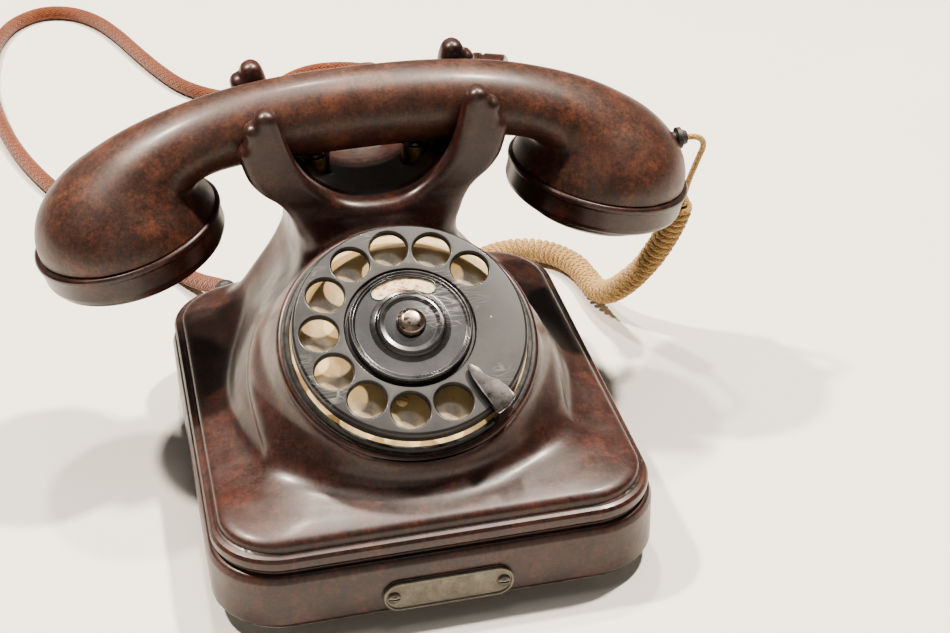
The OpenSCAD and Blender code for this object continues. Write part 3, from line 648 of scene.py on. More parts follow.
def pewter(name):
    """Cast plate, dark in its field and rubbed bright on its rim."""
    look = Look(name, Metallic=0.75)
    field = look.mix(look.patches(0.35, 0.7, 180, 5, 0.75), (0.115, 0.105, 0.088), (0.20, 0.183, 0.152))
    grime = look.patches(0.56, 0.7, 520, 4, 0.8)
    field = look.mix(look.times(grime, 0.6), field, (0.09, 0.08, 0.06))
    color = look.mix(look.times(look.edges(0.0006), 0.85), field, (0.42, 0.40, 0.35))
    rough = look.patches(0.3, 0.7, 300, 4, 0.7, to_low=0.36, to_high=0.55)
    cast = look.sum(look.times(look.noise(1100, 4, 0.7), 0.7), look.times(look.noise(260, 3), 0.8))
    return look.finish(color, rough, look.bump(cast, 0.00007, 0.8))


def moulded(name, dark, light, rough_low, rough_high):
    """Matt moulded plastic or rubber with dust and a fine grain."""
    look = Look(name, IOR=1.5)
    color = look.mix(look.patches(0.35, 0.7, 90, 5, 0.7), dark, light)
    dust = look.times(look.upward(), look.patches(0.45, 0.7, 180, 4, 0.7))
    color = look.mix(look.times(dust, 0.25), color, (0.3, 0.27, 0.23))
    color = look.mix(look.times(look.edges(), 0.3), color, tuple(2.2 * v + 0.02 for v in light))
    rough = look.patches(0.3, 0.7, 240, 4, 0.7, to_low=rough_low, to_high=rough_high)
    return look.finish(color, rough, look.bump(look.noise(1400, 3, 0.6), 0.00006, 0.6))


def wound(name, dark, light):
    """Fine wire wound on a bobbin, under wax."""
    look = Look(name, IOR=1.5, Coat_Weight=0.4, Coat_Roughness=0.2)
    bands = look.node("ShaderNodeTexWave", {"Vector": look.where, "Scale": 900.0, "Distortion": 1.2,
                                            "Detail": 2.0}, bands_direction="Y").outputs["Fac"]
    color = look.mix(bands, dark, light)
    color = look.mix(look.patches(0.45, 0.75, 120, 4), color, dark)
    return look.finish(color, look.patches(0.3, 0.7, 200, 3, to_low=0.35, to_high=0.6),
                       look.bump(bands, 0.0001, 0.6))


def look_between(a, b, share):
    return tuple(u + (v - u) * share for u, v in zip(a, b))


def braid(name, dark, light, strand, round_count):
    """Textile braid: two sets of threads that cross round the cord, with painted shade in the grooves
    between the threads.
    """
    look = Look(name, Sheen_Weight=0.35, Sheen_Roughness=0.5, Specular_IOR_Level=0.25)
    uv = look.node("ShaderNodeUVMap", uv_map="along_and_round").outputs[0]
    parts = look.node("ShaderNodeSeparateXYZ", {"Vector": uv})
    along = look.times(parts.outputs["X"], 1 / strand)
    across = look.times(parts.outputs["Y"], float(round_count))
    threads = []
    for lean in (1, -1):
        phase = look.times(look.sum(along, look.times(across, lean)), math.pi)
        wave = look.sine(phase)
        threads.append(look.times(wave, wave))
    over = look.times(look.sine(look.times(along, math.pi)), look.sine(look.times(across, math.pi)))
    weave = look.node("ShaderNodeMix", {0: look.span(over, -0.15, 0.15), 2: threads[0], 3: threads[1]},
                      data_type="FLOAT").outputs[0]
    fuzz = look.noise(2400, 4, 0.7)
    soil = look.patches(0.4, 0.7, 38, 5, 0.75)
    # Painted shade: the colour goes lighter on the threads' crowns and darker in the grooves between them,
    # following the weave's height.
    color = look.mix(look.span(weave, 0.0, 0.9), look_between(dark, light, 0.55), light)
    color = look.mix(look.times(soil, 0.55), color, dark)
    frayed = tuple(min(1, 1.5 * v) for v in light)
    color = look.mix(look.times(look.span(fuzz, 0.5, 0.75), 0.35), color, frayed)
    worn = look.times(look.patches(0.6, 0.68, 300, 4, 0.8), 0.6)
    color = look.mix(worn, color, (0.30, 0.17, 0.07))
    height = look.sum(look.times(weave, 0.8), look.times(fuzz, 0.35))
    return look.finish(color, look.span(fuzz, 0.3, 0.7, 0.75, 0.95), look.bump(height, 0.00045, 0.9))


def make_looks():
    brown = ((0.016, 0.0058, 0.0048), (0.046, 0.0155, 0.0115), (0.098, 0.029, 0.0180))
    warm = ((0.025, 0.0095, 0.0066), (0.072, 0.0270, 0.0165), (0.150, 0.052, 0.0260))
    return {
        "bakelite": bakelite("bakelite", *brown),
        "grip_bakelite": bakelite("grip_bakelite", *warm, 0.4, 0.36, 0.5),
        "plate_steel": metal("plate_steel", (0.55, 0.55, 0.53), (0.38, 0.36, 0.32), 0.3, 0.5),
        "rubber": moulded("rubber", (0.012, 0.012, 0.012), (0.03, 0.029, 0.028), 0.7, 0.9),
        "nickel": metal("nickel", (0.36, 0.31, 0.28), (0.15, 0.11, 0.09), 0.2, 0.42, 0.8),
        "stop_nickel": metal("stop_nickel", (0.15, 0.14, 0.135), (0.06, 0.055, 0.052), 0.24, 0.4, 0.4),
        "nameplate_metal": pewter("nameplate_metal"),
        "brass": metal("brass", (0.34, 0.23, 0.10), (0.10, 0.065, 0.035), 0.3, 0.5),
        "wheel_enamel": enamel("wheel_enamel", (0.010, 0.0092, 0.0092), (0.036, 0.032, 0.031), 0.34, 0.48),
        "holder_enamel": enamel("holder_enamel", (0.007, 0.007, 0.008), (0.026, 0.025, 0.027), 0.16, 0.32),
        "cream_enamel": number_enamel("cream_enamel"),
        "card": card_paper("card"),
        "black_plastic": moulded("black_plastic", (0.01, 0.01, 0.01), (0.03, 0.028, 0.026), 0.4, 0.65),
        "winding": wound("winding", (0.10, 0.03, 0.012), (0.35, 0.13, 0.05)),
        "bell_metal": metal("bell_metal", (0.64, 0.55, 0.38), (0.42, 0.33, 0.2), 0.22, 0.4, 0.2),
        "can_metal": metal("can_metal", (0.55, 0.54, 0.5), (0.4, 0.38, 0.34), 0.35, 0.55),
        "line_braid": braid("line_braid", (0.07, 0.018, 0.007), (0.20, 0.054, 0.019), 0.0022, 12),
        "hand_braid": braid("hand_braid", (0.27, 0.155, 0.055), (0.56, 0.36, 0.15), 0.0016, 6),
        "plug_brown": bakelite("plug_brown", *brown, haze=0.2),
    }


LOOKS = make_looks()


def dress_cad_nodes():
    """Gives every CAD node the look of its slot in the record, apart from the dial's bezel and case, which
    are painted black as painted shade for the gap under the wheel's rim, and its screws.
    """
    for part in frame["record"]["subparts"]:
        node = frame["nodes"][part["node"]]
        node.data.materials.clear()
        node.data.materials.append(LOOKS[part["material_slot"]])
    # Painted shade: the bezel and case are drawn black, not in their record's metal, to stand for the dark
    # gap under the finger wheel's rim.
    black_for_shade, like_plate = "black_plastic", "cream_enamel"
    for name, look in (("dial_bezel", black_for_shade), ("dial_case", black_for_shade), ("dial_screws", like_plate)):
        frame["nodes"][name].data.materials[0] = LOOKS[look]


# ---- cords ----

LINE_Z = LINE_D / 2 + 0.1
RELIEF_START = (-50, BODY_REAR, 13)
# Down from the sleeve, and then over the floor
LINE_DROP = [(-50, 117, 13), (-53, 124, 10.4), (-58, 134, 6.8), (-64.5, 146, LINE_Z + 0.5)]
LINE_ON_FLOOR = [
    (-74, 162), (-86, 182), (-99, 205), (-111, 228), (-121, 250), (-130, 275), (-137, 302), (-142, 331),
    (-145, 361), (-144, 391), (-140, 417), (-131, 438), (-116, 449), (-100, 445), (-87, 430), (-77, 408),
    (-68, 382), (-58, 355), (-47, 333), (-31, 317), (-12, 309)]
COIL_AT, COIL_R, COIL_ROWS = (20, 268), 34.5, 3
PLUG_AT, PLUG_TURN = (72, 287, 15), -25
TAIL_ROUTE = [(39, 301, 17.6), (47, 297.6, 17.2), (56, 293.8, 16.2), (64, 290.4, 15.4), PLUG_AT]
GLAND_AT = (119.5, HAND_Y, 97)
CURL_Z = CURL_D / 2 + 0.2
# Where the curls start below the handset, and where they end behind the base
CURL_TOP, CURL_END = (124.7, 55.7, 66), (49, 116.4, 5.5)
LEAD_ROUTE = [
    GLAND_AT, (123.4, 43.4, 96.4), (126.6, 45, 93.8), (128, 47.4, 89.6), (127.6, 50, 84.4),
    (126.6, 52, 78.6), (125.6, 54, 72.6), CURL_TOP]
CURL_ROUTE = [
    CURL_TOP, (122.2, 58, 54), (118.2, 61, 42), (113, 65, 30), (107.6, 71, 19.4), (103, 79, 10.8),
    (100.4, 89, 6.2), (99.4, 100, CURL_Z), (97, 112, CURL_Z), (90, 123, CURL_Z), (79, 129, CURL_Z),
    (66, 128, CURL_Z), (54, 121, CURL_Z), CURL_END]
BASE_ROUTE = [
    CURL_END, (45, 112, 5.8), (40, 107.6, 7), (35.4, 103.4, 8.4), (32, 98.4, 9.6), (30.4, 93.6, 10.4),
    (30, 90, 10.6)]


def coil_turns():
    """The coil's own line: out and in over two radii, row by row upwards, clockwise."""
    inner, outer = COIL_R - LINE_D / 2, COIL_R + LINE_D / 2
    first, line, level = 90.0, [], LINE_Z
    plan = [outer, inner, inner, outer, outer, inner]
    for turn, start in enumerate(plan):
        last_turn = turn == len(plan) - 1
        end = start if last_turn else plan[turn + 1]
        rise = LINE_D if turn % 2 and not last_turn else 0
        for step in range(0, 330 if last_turn else 360, 10):
            share = float(smooth_step((step - 270) / 90))
            a = math.radians(first - step)
            r = start + (end - start) * share
            line.append((COIL_AT[0] + r * math.cos(a), COIL_AT[1] + r * math.sin(a), level + rise * share))
        level += rise
    return line


def make_line_cord():
    """Braided cord from the body over the floor into its tied coil, and on to the plug."""
    on_floor = [(x, y, LINE_Z) for x, y in LINE_ON_FLOOR]
    line = spaced(catmull(LINE_DROP + on_floor + coil_turns() + TAIL_ROUTE, 6), 2.0)
    ends = np.clip(np.minimum(np.arange(len(line)), np.arange(len(line))[::-1]) / 2, 0, 1)
    points, faces, uv = tube(line, LINE_D / 2 - 0.15 * (1 - ends), 28)
    cord = piece("line_cord_braid", points, faces, "base", "line_braid", ("line_cord", "line_coil"),
                 sharp=60, uv=uv)
    return cord, line


def make_plug():
    """Round wall plug with a grip waist and a cord sleeve."""
    outline = rounded([(0, 0.2), (4.7, 0.2, 0.8), (5.2, 5), (6, 8.5, 3), (9.6, 13, 5), (13.4, 17.4, 3),
                       (14.8, 21.6, 2), (14.8, 24.2, 0.3), (14.1, 24.8, 0.4), (14.1, 26, 0.4),
                       (14.8, 26.6, 0.3), (14.8, 36, 1.2), (13.6, 37, 0.6), (0, 37)], 0.5)
    points, faces = lathe(outline, 96)
    at = placed(*PLUG_AT, (PLUG_TURN, "Z"), (90, "Y"))
    return piece("plug_body", moved(points, at), faces, "base", "plug_brown", ("line_plug",))


def make_relief():
    """Tapered rubber sleeve with ribs, where the line cord leaves the body."""
    outline = [(0, 0.25), (5.0, 0.25), (6.4, 0.3, 0.3), (6.4, 2.6, 0.5), (5.6, 3.4, 0.4)]
    first, last, ribs = 4.5, 26.5, 8
    for i in range(ribs):
        z = first + (last - first) * i / ribs
        r = 5.5 - 1.1 * i / ribs
        outline += [(r, z, 0.25), (r, z + 1.3, 0.25), (r - 0.6, z + 1.6, 0.2), (r - 0.6, z + 2.5, 0.2)]
    outline += [(4.5, 27.6, 0.3), (4.3, 29.5, 0.4), (0, 29.5)]
    points, faces = lathe(rounded(outline, 0.3, steps=3), 64)
    at = placed(*RELIEF_START, (-90, "X"))
    return piece("line_relief_sleeve", moved(points, at), faces, "base", "black_plastic", ("line_relief",))


def make_tie():
    """Cord tie round one side of the coil: a flat band with rounded corners."""
    x, y = COIL_AT[0], COIL_AT[1] - COIL_R
    wide, high = LINE_D + 0.75, COIL_ROWS * LINE_D + 0.95
    loop = rounded([(y - wide, 0.42), (y + wide, 0.42), (y + wide, high), (y - wide, high)], 3.0, steps=8)
    between = np.linspace(0, 1, 6, endpoint=False)
    loop = [a + (b - a) * t for a, b in zip(loop, np.roll(loop, -1, 0)) for t in between]
    line = np.array([(x, y, z) for y, z in loop])
    ahead = np.roll(line, -1, 0) - np.roll(line, 1, 0)
    ahead /= np.linalg.norm(ahead, axis=1)[:, None]
    across = np.array((1.0, 0, 0))
    outward = np.cross(ahead, across)
    section = rounded([(-2.6, -0.38), (2.6, -0.38), (2.6, 0.38), (-2.6, 0.38)], 0.3, steps=3)
    turns = [[p + u * across + v * out for u, v in section] for p, out in zip(line, outward)]
    return piece("cord_tie", *skin(turns, closed=True), "base", "black_plastic", ("line_tie",))


def plain_lead(name, route, body, node):
    """Thin straight lead at one end of the curly cord."""
    line = spaced(catmull(route, 8), 0.9)
    points, faces, uv = tube(line, THIN_D / 2, 12, (0, 1, 0))
    return piece(name, points, faces, body, "hand_braid", (node,), sharp=60, uv=uv), line


def make_curl():
    """Curly stretch of the handset's cord, as a helix that grows out of its thin leads."""
    axis = spaced(catmull(CURL_ROUTE, 12), 0.25)
    ahead = directions(axis)
    along = distances(axis)
    fade = 7
    grow = smooth_step(along / fade) * smooth_step((along[-1] - along) / fade)
    side = sideways(ahead, (1.0, 0, 0))
    other = np.cross(ahead, side)
    uneven = 1 + 0.03 * np.sin(along / 9.0) + 0.02 * np.sin(along / 3.7)
    angle = 2 * math.pi * along / CURL_PITCH
    radius = (CURL_D - STRAND_D) / 2 * grow * np.minimum(uneven, 1.0)
    helix = axis + radius[:, None] * (np.cos(angle)[:, None] * side + np.sin(angle)[:, None] * other)
    thick = (THIN_D + (STRAND_D - THIN_D) * grow) / 2
    points, faces, uv = tube(helix, thick, 12, (0, 1, 0))
    curl = piece("handset_curly_cord", points, faces, None, "hand_braid", ("handset_curl",),
                 sharp=60, uv=uv)
    tuple(MM * v for v in CURL_ROUTE[8])
    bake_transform(curl)
    return curl, spaced(axis, 2.5)


def declare_cord(line, carried=()):
    length_of(line) * MM


def make_cords():
    line_cord, line = make_line_cord()
    declare_cord(line,
                 (make_plug(), frame["nodes"]["plug_pins"], make_tie(), make_relief()))
    lead, line = plain_lead("handset_cord_lead", LEAD_ROUTE, "handset", "handset_lead")
    declare_cord(line)
    curl, line = make_curl()
    declare_cord(line)
    lead, line = plain_lead("base_cord_lead", BASE_ROUTE, "base", "base_lead")
    declare_cord(line)


# ---- stage ----

def make_stage():
    look = Look("floor")
    color = look.mix(look.patches(0.3, 0.7, 3, 3), (0.80, 0.775, 0.73), (0.83, 0.80, 0.755))
    floor_look = look.finish(color, look.patches(0.3, 0.7, 9, 3, to_low=0.4, to_high=0.5))
    half = 4.0
    mesh = bpy.data.meshes.new("floor")
    mesh.from_pydata([(-half, -half, 0), (half, -half, 0), (half, half, 0), (-half, half, 0)], [],
                     [(0, 1, 2, 3)])
    floor = bpy.data.objects.new("floor", mesh)
    bpy.context.scene.collection.objects.link(floor)
    floor.data.materials.append(floor_look)


def make_light(name, toward, distance, size, power, color):
    """Square soft light at a distance from the body's middle along a direction, facing it."""
    data = bpy.data.lights.new(name, "AREA")
    data.shape, data.size, data.energy, data.color = "SQUARE", size, power, color
    lamp = bpy.data.objects.new(name, data)
    bpy.context.scene.collection.objects.link(lamp)
    direction = Vector(toward).normalized()
    middle = Vector((0, 0, 0.06))
    lamp.location = middle + distance * direction
    lamp.rotation_euler = direction.to_track_quat("Z", "Y").to_euler()


def make_lights():
    warm, white = (1.0, 0.91, 0.80), (1.0, 0.96, 0.91)
    make_light("lamp_right", (0.38, 0.15, 0.91), 1.7, 0.10, 26, warm)
    make_light("lamp_left", (-0.42, 0.26, 0.87), 1.7, 0.10, 24, warm)
    make_light("lamp_behind", (0.02, 0.42, 0.91), 1.7, 0.10, 10, warm)
    make_light("overhead", (0.12, -0.05, 1.0), 1.4, 0.45, 1.5, white)
    make_light("front_fill", (-0.3, -0.9, 0.35), 1.8, 1.2, 2, warm)
    world = bpy.data.worlds.new("studio")
    world.use_nodes = True
    back = world.node_tree.nodes["Background"]
    back.inputs[0].default_value = (0.9, 0.86, 0.8, 1)
    back.inputs[1].default_value = 0.08
    bpy.context.scene.world = world
    view = bpy.context.scene.view_settings
    view.view_transform = "AgX"
    view.look = "AgX - Medium High Contrast"
    view.exposure = 0.75


# ---- body ----

# Height, half width, front, rear and corner radius of the body above the plinth
BODY_SECTIONS = [
    (30, 70.6, -81.0, 83.2, 21), (33, 70.6, -81.0, 83.2, 21), (36, 70.3, -80.8, 83.0, 21),
    (37.4, 68.4, -79.6, 82.4, 20.5), (38.8, 62.0, -75.0, 81.4, 19), (40, 56.4, -69, 80.4, 17.5),
    (42, 51.8, -59, 79.2, 15), (48, 44.2, -39, 78, 12), (56, 37.4, -13, 77, 10), (64, 32.2, 5, 76, 9),
    (72, 28.8, 13, 75, 8), (84, 28.2, 17.5, 73.6, 8), (94, 29, 18.6, 72, 8), (102, 31, 18.5, 70, 7),
    (106, 31, 18.5, 69, 7)]
TRUNK_TOP = 97.0
# Plungers' bores in the saddle, and where the upper body stops inside the plinth
BORE_R, BORE_Z, UPPER_Z = 5.15, 85, 31.5
# Radius and height of the mound round the dial, in the dial's frame
MOUND_R = 43.8
MOUND = [(MOUND_R, -5), (MOUND_R, -10), (44.6, -14), (46.2, -20), (48.6, -27), (51.6, -34), (54.4, -41),
         (56.5, -48), (57.5, -56), (58, -64)]
FORK_INNER = [(0, 98.5), (7, 99.2), (13, 101.4), (18.5, 105), (23, 109.6), (26.4, 115), (28.8, 121),
              (30.6, 127.5), (31.6, 132), (33.2, 135.6)]
FORK_OUTER = [(36.2, 137), (39.2, 135.7), (40.7, 132.9), (42.4, 132.3), (44.0, 130.2), (43.7, 127.4),
              (44.2, 125.2), (45.8, 123.6), (46.4, 121.4), (45.6, 117.6), (43.6, 111.6), (39.8, 106.4),
              (34.6, 102.0), (30.6, 97.0), (28.4, 92), (24, 86)]


def rounded_ring(half_x, low_y, high_y, radius, z, steps=14, along=10):
    """Rounded rectangle at height z, anticlockwise, with points along its sides too."""
    corners = [(half_x, low_y), (half_x, high_y), (-half_x, high_y), (-half_x, low_y)]
    outline = rounded([(*c, radius) for c in corners], radius, steps=steps)
    per = steps + 1
    out = []
    for k in range(4):
        arc = outline[k * per:(k + 1) * per]
        after = outline[(k + 1) * per % len(outline)]
        out += list(arc)
        out += [arc[-1] + (after - arc[-1]) * t for t in np.arange(1, along) / along]
    return [(x, y, z) for x, y in out]


def body_ring(inset, z, radius=24.0):
    return rounded_ring(BODY_HW - inset, BODY_FRONT + inset, BODY_REAR - inset, radius - 0.8 * inset, z)


def plinth():
    """Moulded foot: skirt, upright band, rounded shoulder, groove, upper band and its fine ridge."""
    outline = rounded([
        (4.2, 33.9, 0), (3.3, 33.3, 0.3), (2.0, 32.9, 0.5), (1.3, 31.8, 0.8), (1.4, 28.9, 1.0),
        (2.3, 28.2, 0.5), (2.7, 27.5, 0.3), (2.5, 26.9, 0.3), (0.9, 26.5, 1.4), (0, 24.0, 2.2),
        (0, 7.6, 1.2), (0.9, SKIRT_Z, 0.6), (4.4, SKIRT_Z, 0)], 0.5, closed=False, steps=4)
    under = [(4.4, SKIRT_Z + 1.2), (6, SKIRT_Z + 1.2)]
    rings = [body_ring(inset, z) for inset, z in [(12, 33.9), *outline, *under]]
    return skin(rings[::-1])


def outline_distance(outline, low, high, cell):
    """Function that gives the signed distance to an outline, from an even grid over a region."""
    xs, zs = np.arange(low[0], high[0] + cell, cell), np.arange(low[1], high[1] + cell, cell)
    grid = np.stack(np.meshgrid(xs, zs, indexing="ij"), -1).reshape(-1, 2)
    away = np.full(len(grid), 1e9)
    inside = np.zeros(len(grid), bool)
    for a, b in zip(outline, np.roll(outline, -1, 0)):
        d = b - a
        t = np.clip(((grid - a) @ d) / (d @ d), 0, 1)
        away = np.minimum(away, np.linalg.norm(grid - a - t[:, None] * d, axis=1))
        if a[1] != b[1]:
            over = (a[1] > grid[:, 1]) != (b[1] > grid[:, 1])
            inside ^= over & (grid[:, 0] < a[0] + (grid[:, 1] - a[1]) * d[0] / d[1])
    table = np.where(inside, -away, away).reshape(len(xs), len(zs))

    def distance(x, z):
        u = np.clip((x - low[0]) / cell, 0, len(xs) - 1.001)
        v = np.clip((z - low[1]) / cell, 0, len(zs) - 1.001)
        i, j = u.astype(int), v.astype(int)
        u, v = u - i, v - j
        return ((table[i, j] * (1 - u) + table[i + 1, j] * u) * (1 - v)
                + (table[i, j + 1] * (1 - u) + table[i + 1, j + 1] * u) * v)

    return distance


def fork_outline():
    """Right half of a fork and its mirror image as one smooth outline."""
    half = catmull(FORK_INNER + FORK_OUTER, 5)
    return np.concatenate([half, (half * (-1, 1))[::-1][:-1]])


def section(sizes, x, y, z):
    """Distance to the body's outline at each point's own height."""
    half_x, front, rear, corner = sizes
    back = smooth_step((y + 75) / 150) * (1 - smooth_step((z - 40) / 12))
    z = np.clip(z + 1.8 * back, BODY_SECTIONS[0][0], BODY_SECTIONS[-1][0])
    r = corner(z)
    middle = (front(z) + rear(z)) / 2
    u = np.abs(x) - half_x(z) + r
    v = np.abs(y - middle) - (rear(z) - front(z)) / 2 + r
    return np.hypot(np.maximum(u, 0), np.maximum(v, 0)) + np.minimum(np.maximum(u, v), 0) - r


def trunk(sizes, p):
    """Distance to the body up to the foot of the cradle."""
    x, y, z = p.T
    slope = (section(sizes, x, y, z + 0.6) - section(sizes, x, y, z - 0.6)) / 1.2
    return smooth_max(section(sizes, x, y, z) / np.sqrt(1 + slope * slope), z - TRUNK_TOP, 4)


def mound(radius, into_dial, p):
    """Distance to the mound under the dial."""
    q = moved(p, into_dial)
    side = (np.hypot(q[:, 0], q[:, 1]) - radius(-q[:, 2])) * 0.8
    return np.maximum(side, q[:, 2] - SEAT_Z - 4)


def slab(fork, p, y, half_thick, edge):
    """Distance to an upright fork round the plane at y, with a rounded edge."""
    a, b = fork(p[:, 0], p[:, 2]) + edge, np.abs(p[:, 1] - y) - half_thick + edge
    return np.hypot(np.maximum(a, 0), np.maximum(b, 0)) + np.minimum(np.maximum(a, b), 0) - edge


def body_shape():
    """Distance to the body above its plinth, with the dial's mound and the forks."""
    heights = [s[0] for s in BODY_SECTIONS]
    sizes = [monotone(heights, [s[k] for s in BODY_SECTIONS]) for k in (1, 2, 3, 4)]
    mound_radius = monotone([-z for _, z in MOUND], [r for r, _ in MOUND])
    fork = outline_distance(fork_outline(), (-52, 80), (52, 142), 0.25)
    into_dial = np.linalg.inv(IN_DIAL)

    def shape(p):
        body, z = trunk(sizes, p), p[:, 2]
        fillet = 10 + 7 * smooth_step((z - 38) / 10) - 8 * smooth_step((z - 62) / 14)
        body = smooth_min(body, mound(mound_radius, into_dial, p), fillet)
        forks = [slab(fork, p, HAND_Y + side * FORK_DY, FORK_T / 2, 3.3) for side in (-1, 1)]
        body = smooth_min(body, np.minimum(*forks), 5)
        saddle = slab(fork, p, HAND_Y, FORK_DY - FORK_T / 2 + 0.5, 0.5)
        body = smooth_min(body, smooth_max(saddle, z - SADDLE_Z, 1.5), 1.2)
        for side in (-1, 1):
            bore = np.hypot(p[:, 0] - side * PLUNGER_X, p[:, 1] - HAND_Y) - BORE_R
            body = smooth_max(body, -np.maximum(bore, BORE_Z - z), 0.8)
        return np.maximum(body, UPPER_Z - z)

    return shape


def make_housing():
    """The moulding as one hollow piece, with the dial's seat and both cord holes cut into it."""
    cell = 1.1
    wall, round_r = 3.0, 1.6
    upper = surface(body_shape(), (-76, -86, 29), (76, 88, 141), cell)
    solid = boolean(plinth(), [upper], "UNION")
    hollow = [rounded_ring(s[1] - wall - 1, s[2] + wall + 2, s[3] - wall, max(s[4] - wall, 3), s[0] - wall)
              for s in BODY_SECTIONS[2:-2]]
    edge = [(MOUND_R - round_r + round_r * math.sin(a), SEAT_Z - round_r + round_r * math.cos(a))
            for a in np.radians((0, 20, 40, 60, 78))]
    seat, seat_faces = lathe([
        (0, -26), (SEAT_R, -26), (SEAT_R, SEAT_Z - 0.5), (SEAT_R + 0.5, SEAT_Z), *edge,
        (MOUND_R + 1.0, SEAT_Z - 1.3), (MOUND_R + 1.0, 9), (0, 9)], 256)
    holes = [skin([body_ring(wall + 2.6, 3), *hollow]), (moved(seat, IN_DIAL), seat_faces)]
    for x, z, r in ((RELIEF_START[0], RELIEF_START[2], 5.2), (30, 10.6, 3.7)):
        rod, rod_faces = lathe([(0, 0), (r, 0), (r, 14), (0, 14)], 32)
        holes.append((moved(rod, placed(x, BODY_REAR - 10, z, (-90, "X"))), rod_faces))
    points, faces = boolean(solid, holes)
    piece("housing_moulding", points, faces, "base", "bakelite", ("housing", "neck", "cradle"), sharp=40)


# ---- handset ----

# Top x and z, bottom x and z, and half thickness of the handset's sections, from a cup to the middle
GRIP = [
    (-117.4, 82.1, -54.2, 96.9, 32.5), (-118, 88, -56.6, 100.6, 31.8), (-116.4, 95, -58.6, 103.4, 30),
    (-112.3, 101.8, -59.6, 105.4, 27.2), (-106, 108.6, -59.2, 106.8, 24), (-98, 114.6, -57.4, 107.8, 21.2),
    (-88, 120.8, -54.6, 108.6, 18.6), (-76.6, 126.2, -51, 109.1, 16.8), (-64.6, 130.6, -46.6, 109.4, 15.6),
    (-51.6, 134.2, -41.2, 109.6, 14.9), (-37, 136.8, -33, 109.8, 14.5), (-19.5, 138.4, -18.2, 110.1, 14.3)]
GRIP_MIDDLE = (0, 138.8, 0, 110.3, 14.2)


def make_grip():
    """Handset with its cups, from ovals that lean over between the two ends."""
    rows = GRIP + [GRIP_MIDDLE] + [(-a, b, -c, d, e) for a, b, c, d, e in GRIP[::-1]]
    rows = catmull(rows, 9)
    turns = np.arange(112) * 2 * math.pi / 112
    rings = []
    for tx, tz, bx, bz, half in rows:
        x = (tx + bx) / 2 + np.sin(turns) * (tx - bx) / 2
        z = (tz + bz) / 2 + np.sin(turns) * (tz - bz) / 2
        y = HAND_Y + np.cos(turns) * half
        rings.append(np.stack([x, y, z], 1))
    for k in (0, -1):
        middle = rings[k].mean(0)
        rings[k] = middle + (rings[k] - middle) * 0.985
    cup = rounded([(0, -3), (28, -3), (28, 5.8, 1), (25, 5.9, 1), (14, 18, 3), (0, 19)], 0.5)
    points, faces = lathe(cup, 96)
    cutters = [(moved(points, IN_CAP[side]), faces) for side in (-1, 1)]
    rod, rod_faces = lathe([(0, 0), (2.6, 0), (2.6, 20), (0, 20)], 32)
    cutters.append((moved(rod, placed(108, HAND_Y, GLAND_AT[2], (90, "Y"))), rod_faces))
    points, faces = boolean(skin(rings), cutters)
    piece("handset_grip", points, faces, "handset", "grip_bakelite", ("handset_body",), sharp=40,
          slot="bakelite")


def make_cap(name, side, face, node):
    """Screwed cap: a lip round its top, a rolled side and a dished face with sound holes."""
    ring = [(28.2, -7.8, 0.3), (28.2, -0.6, 0.3), (30.2, 0.0, 0.4), (CAP_R - 0.7, 0.0, 0.5),
            (CAP_R, -0.7, 0.5), (CAP_R, -2.0, 0.5), (CAP_R - 0.7, -2.7, 0.4), (CAP_R - 0.8, -9.0, 1.0),
            (CAP_R - 1.4, -10.6, 0.8), (CAP_R - 2.2, -11.1, 0.6)]
    outline = rounded([(0, -8.2, 0), (27.6, -8.2, 0.3), *ring, *face], 1.0, steps=4)
    drill = lathe([(0, -30), (1.6, -30), (1.6, -2), (0, -2)], 24)
    places = [(0, 0)] + [polar(7, 60 * i) for i in range(6)]
    drills = [(drill[0] + (x, y, 0), drill[1]) for x, y in places]
    points, faces = boolean(lathe(outline, 160), drills)
    piece(name, moved(points, IN_CAP[side]), faces, "handset", "bakelite", (node,))


def make_caps():
    ear = [(31.6, -12.2, 0.8), (29.4, -13.8, 1.5), (26, -14, 2), (20, -12.8, 3), (12, -11.6, 3),
           (0, -11.2, 0)]
    mouth = [(31, -12, 0.6), (27.4, -12.6, 0.6), (26.4, -14.6, 1.5), (24, -16.4, 2), (20, -16.8, 2),
             (14, -15.2, 3), (0, -14.4, 0)]
    make_cap("ear_cap", -1, ear, "receiver_cap")
    make_cap("mouth_cap", 1, mouth, "transmitter_cap")


# ---- dial ----

def make_wheel():
    """Finger wheel: a groove round the card holder, a rolled rim and ten rounded holes."""
    outline = rounded([
        (2.15, -2, 0), (2.15, 0, 0), (20.3, 0, 0.1), (20.5, -1.3, 0.2), (21.5, -1.3, 0.2), (21.75, 0, 0.3),
        (37.9, 0, 0.5), (38.6, -0.5, 0.6), (WHEEL_R, -1.6, 0.8), (WHEEL_R, -4.5, 0.35), (37.8, -4.8, 0.3),
        (37.8, -2.8, 0.4), (37.2, -2, 0.3)], 0.3, steps=5)
    rim = [(HOLE_R, -6), (HOLE_R, -0.75)]
    rim += [(HOLE_R + 0.7 * (1 - math.cos(a)), -0.75 + 0.75 * math.sin(a))
            for a in np.radians((20, 40, 60, 75, 88))]
    cutter = lathe([(0, -6), *rim, (HOLE_R + 0.7, 1.5), (0, 1.5)], 64)
    cutters = [(cutter[0] + (x, y, 0), cutter[1]) for x, y in hole_places()]
    wheel = boolean(lathe(outline, 256), cutters)
    dial_piece("finger_wheel_plate", wheel, "wheel_enamel", ("finger_wheel",), sharp=30)


def end_arc(r, angle, half_wide, turn):
    x, y = polar(r, angle)
    return [(x + half_wide * math.sin(math.radians(angle + turn + a)),
             y + half_wide * math.cos(math.radians(angle + turn + a))) for a in np.linspace(15, 165, 11)]


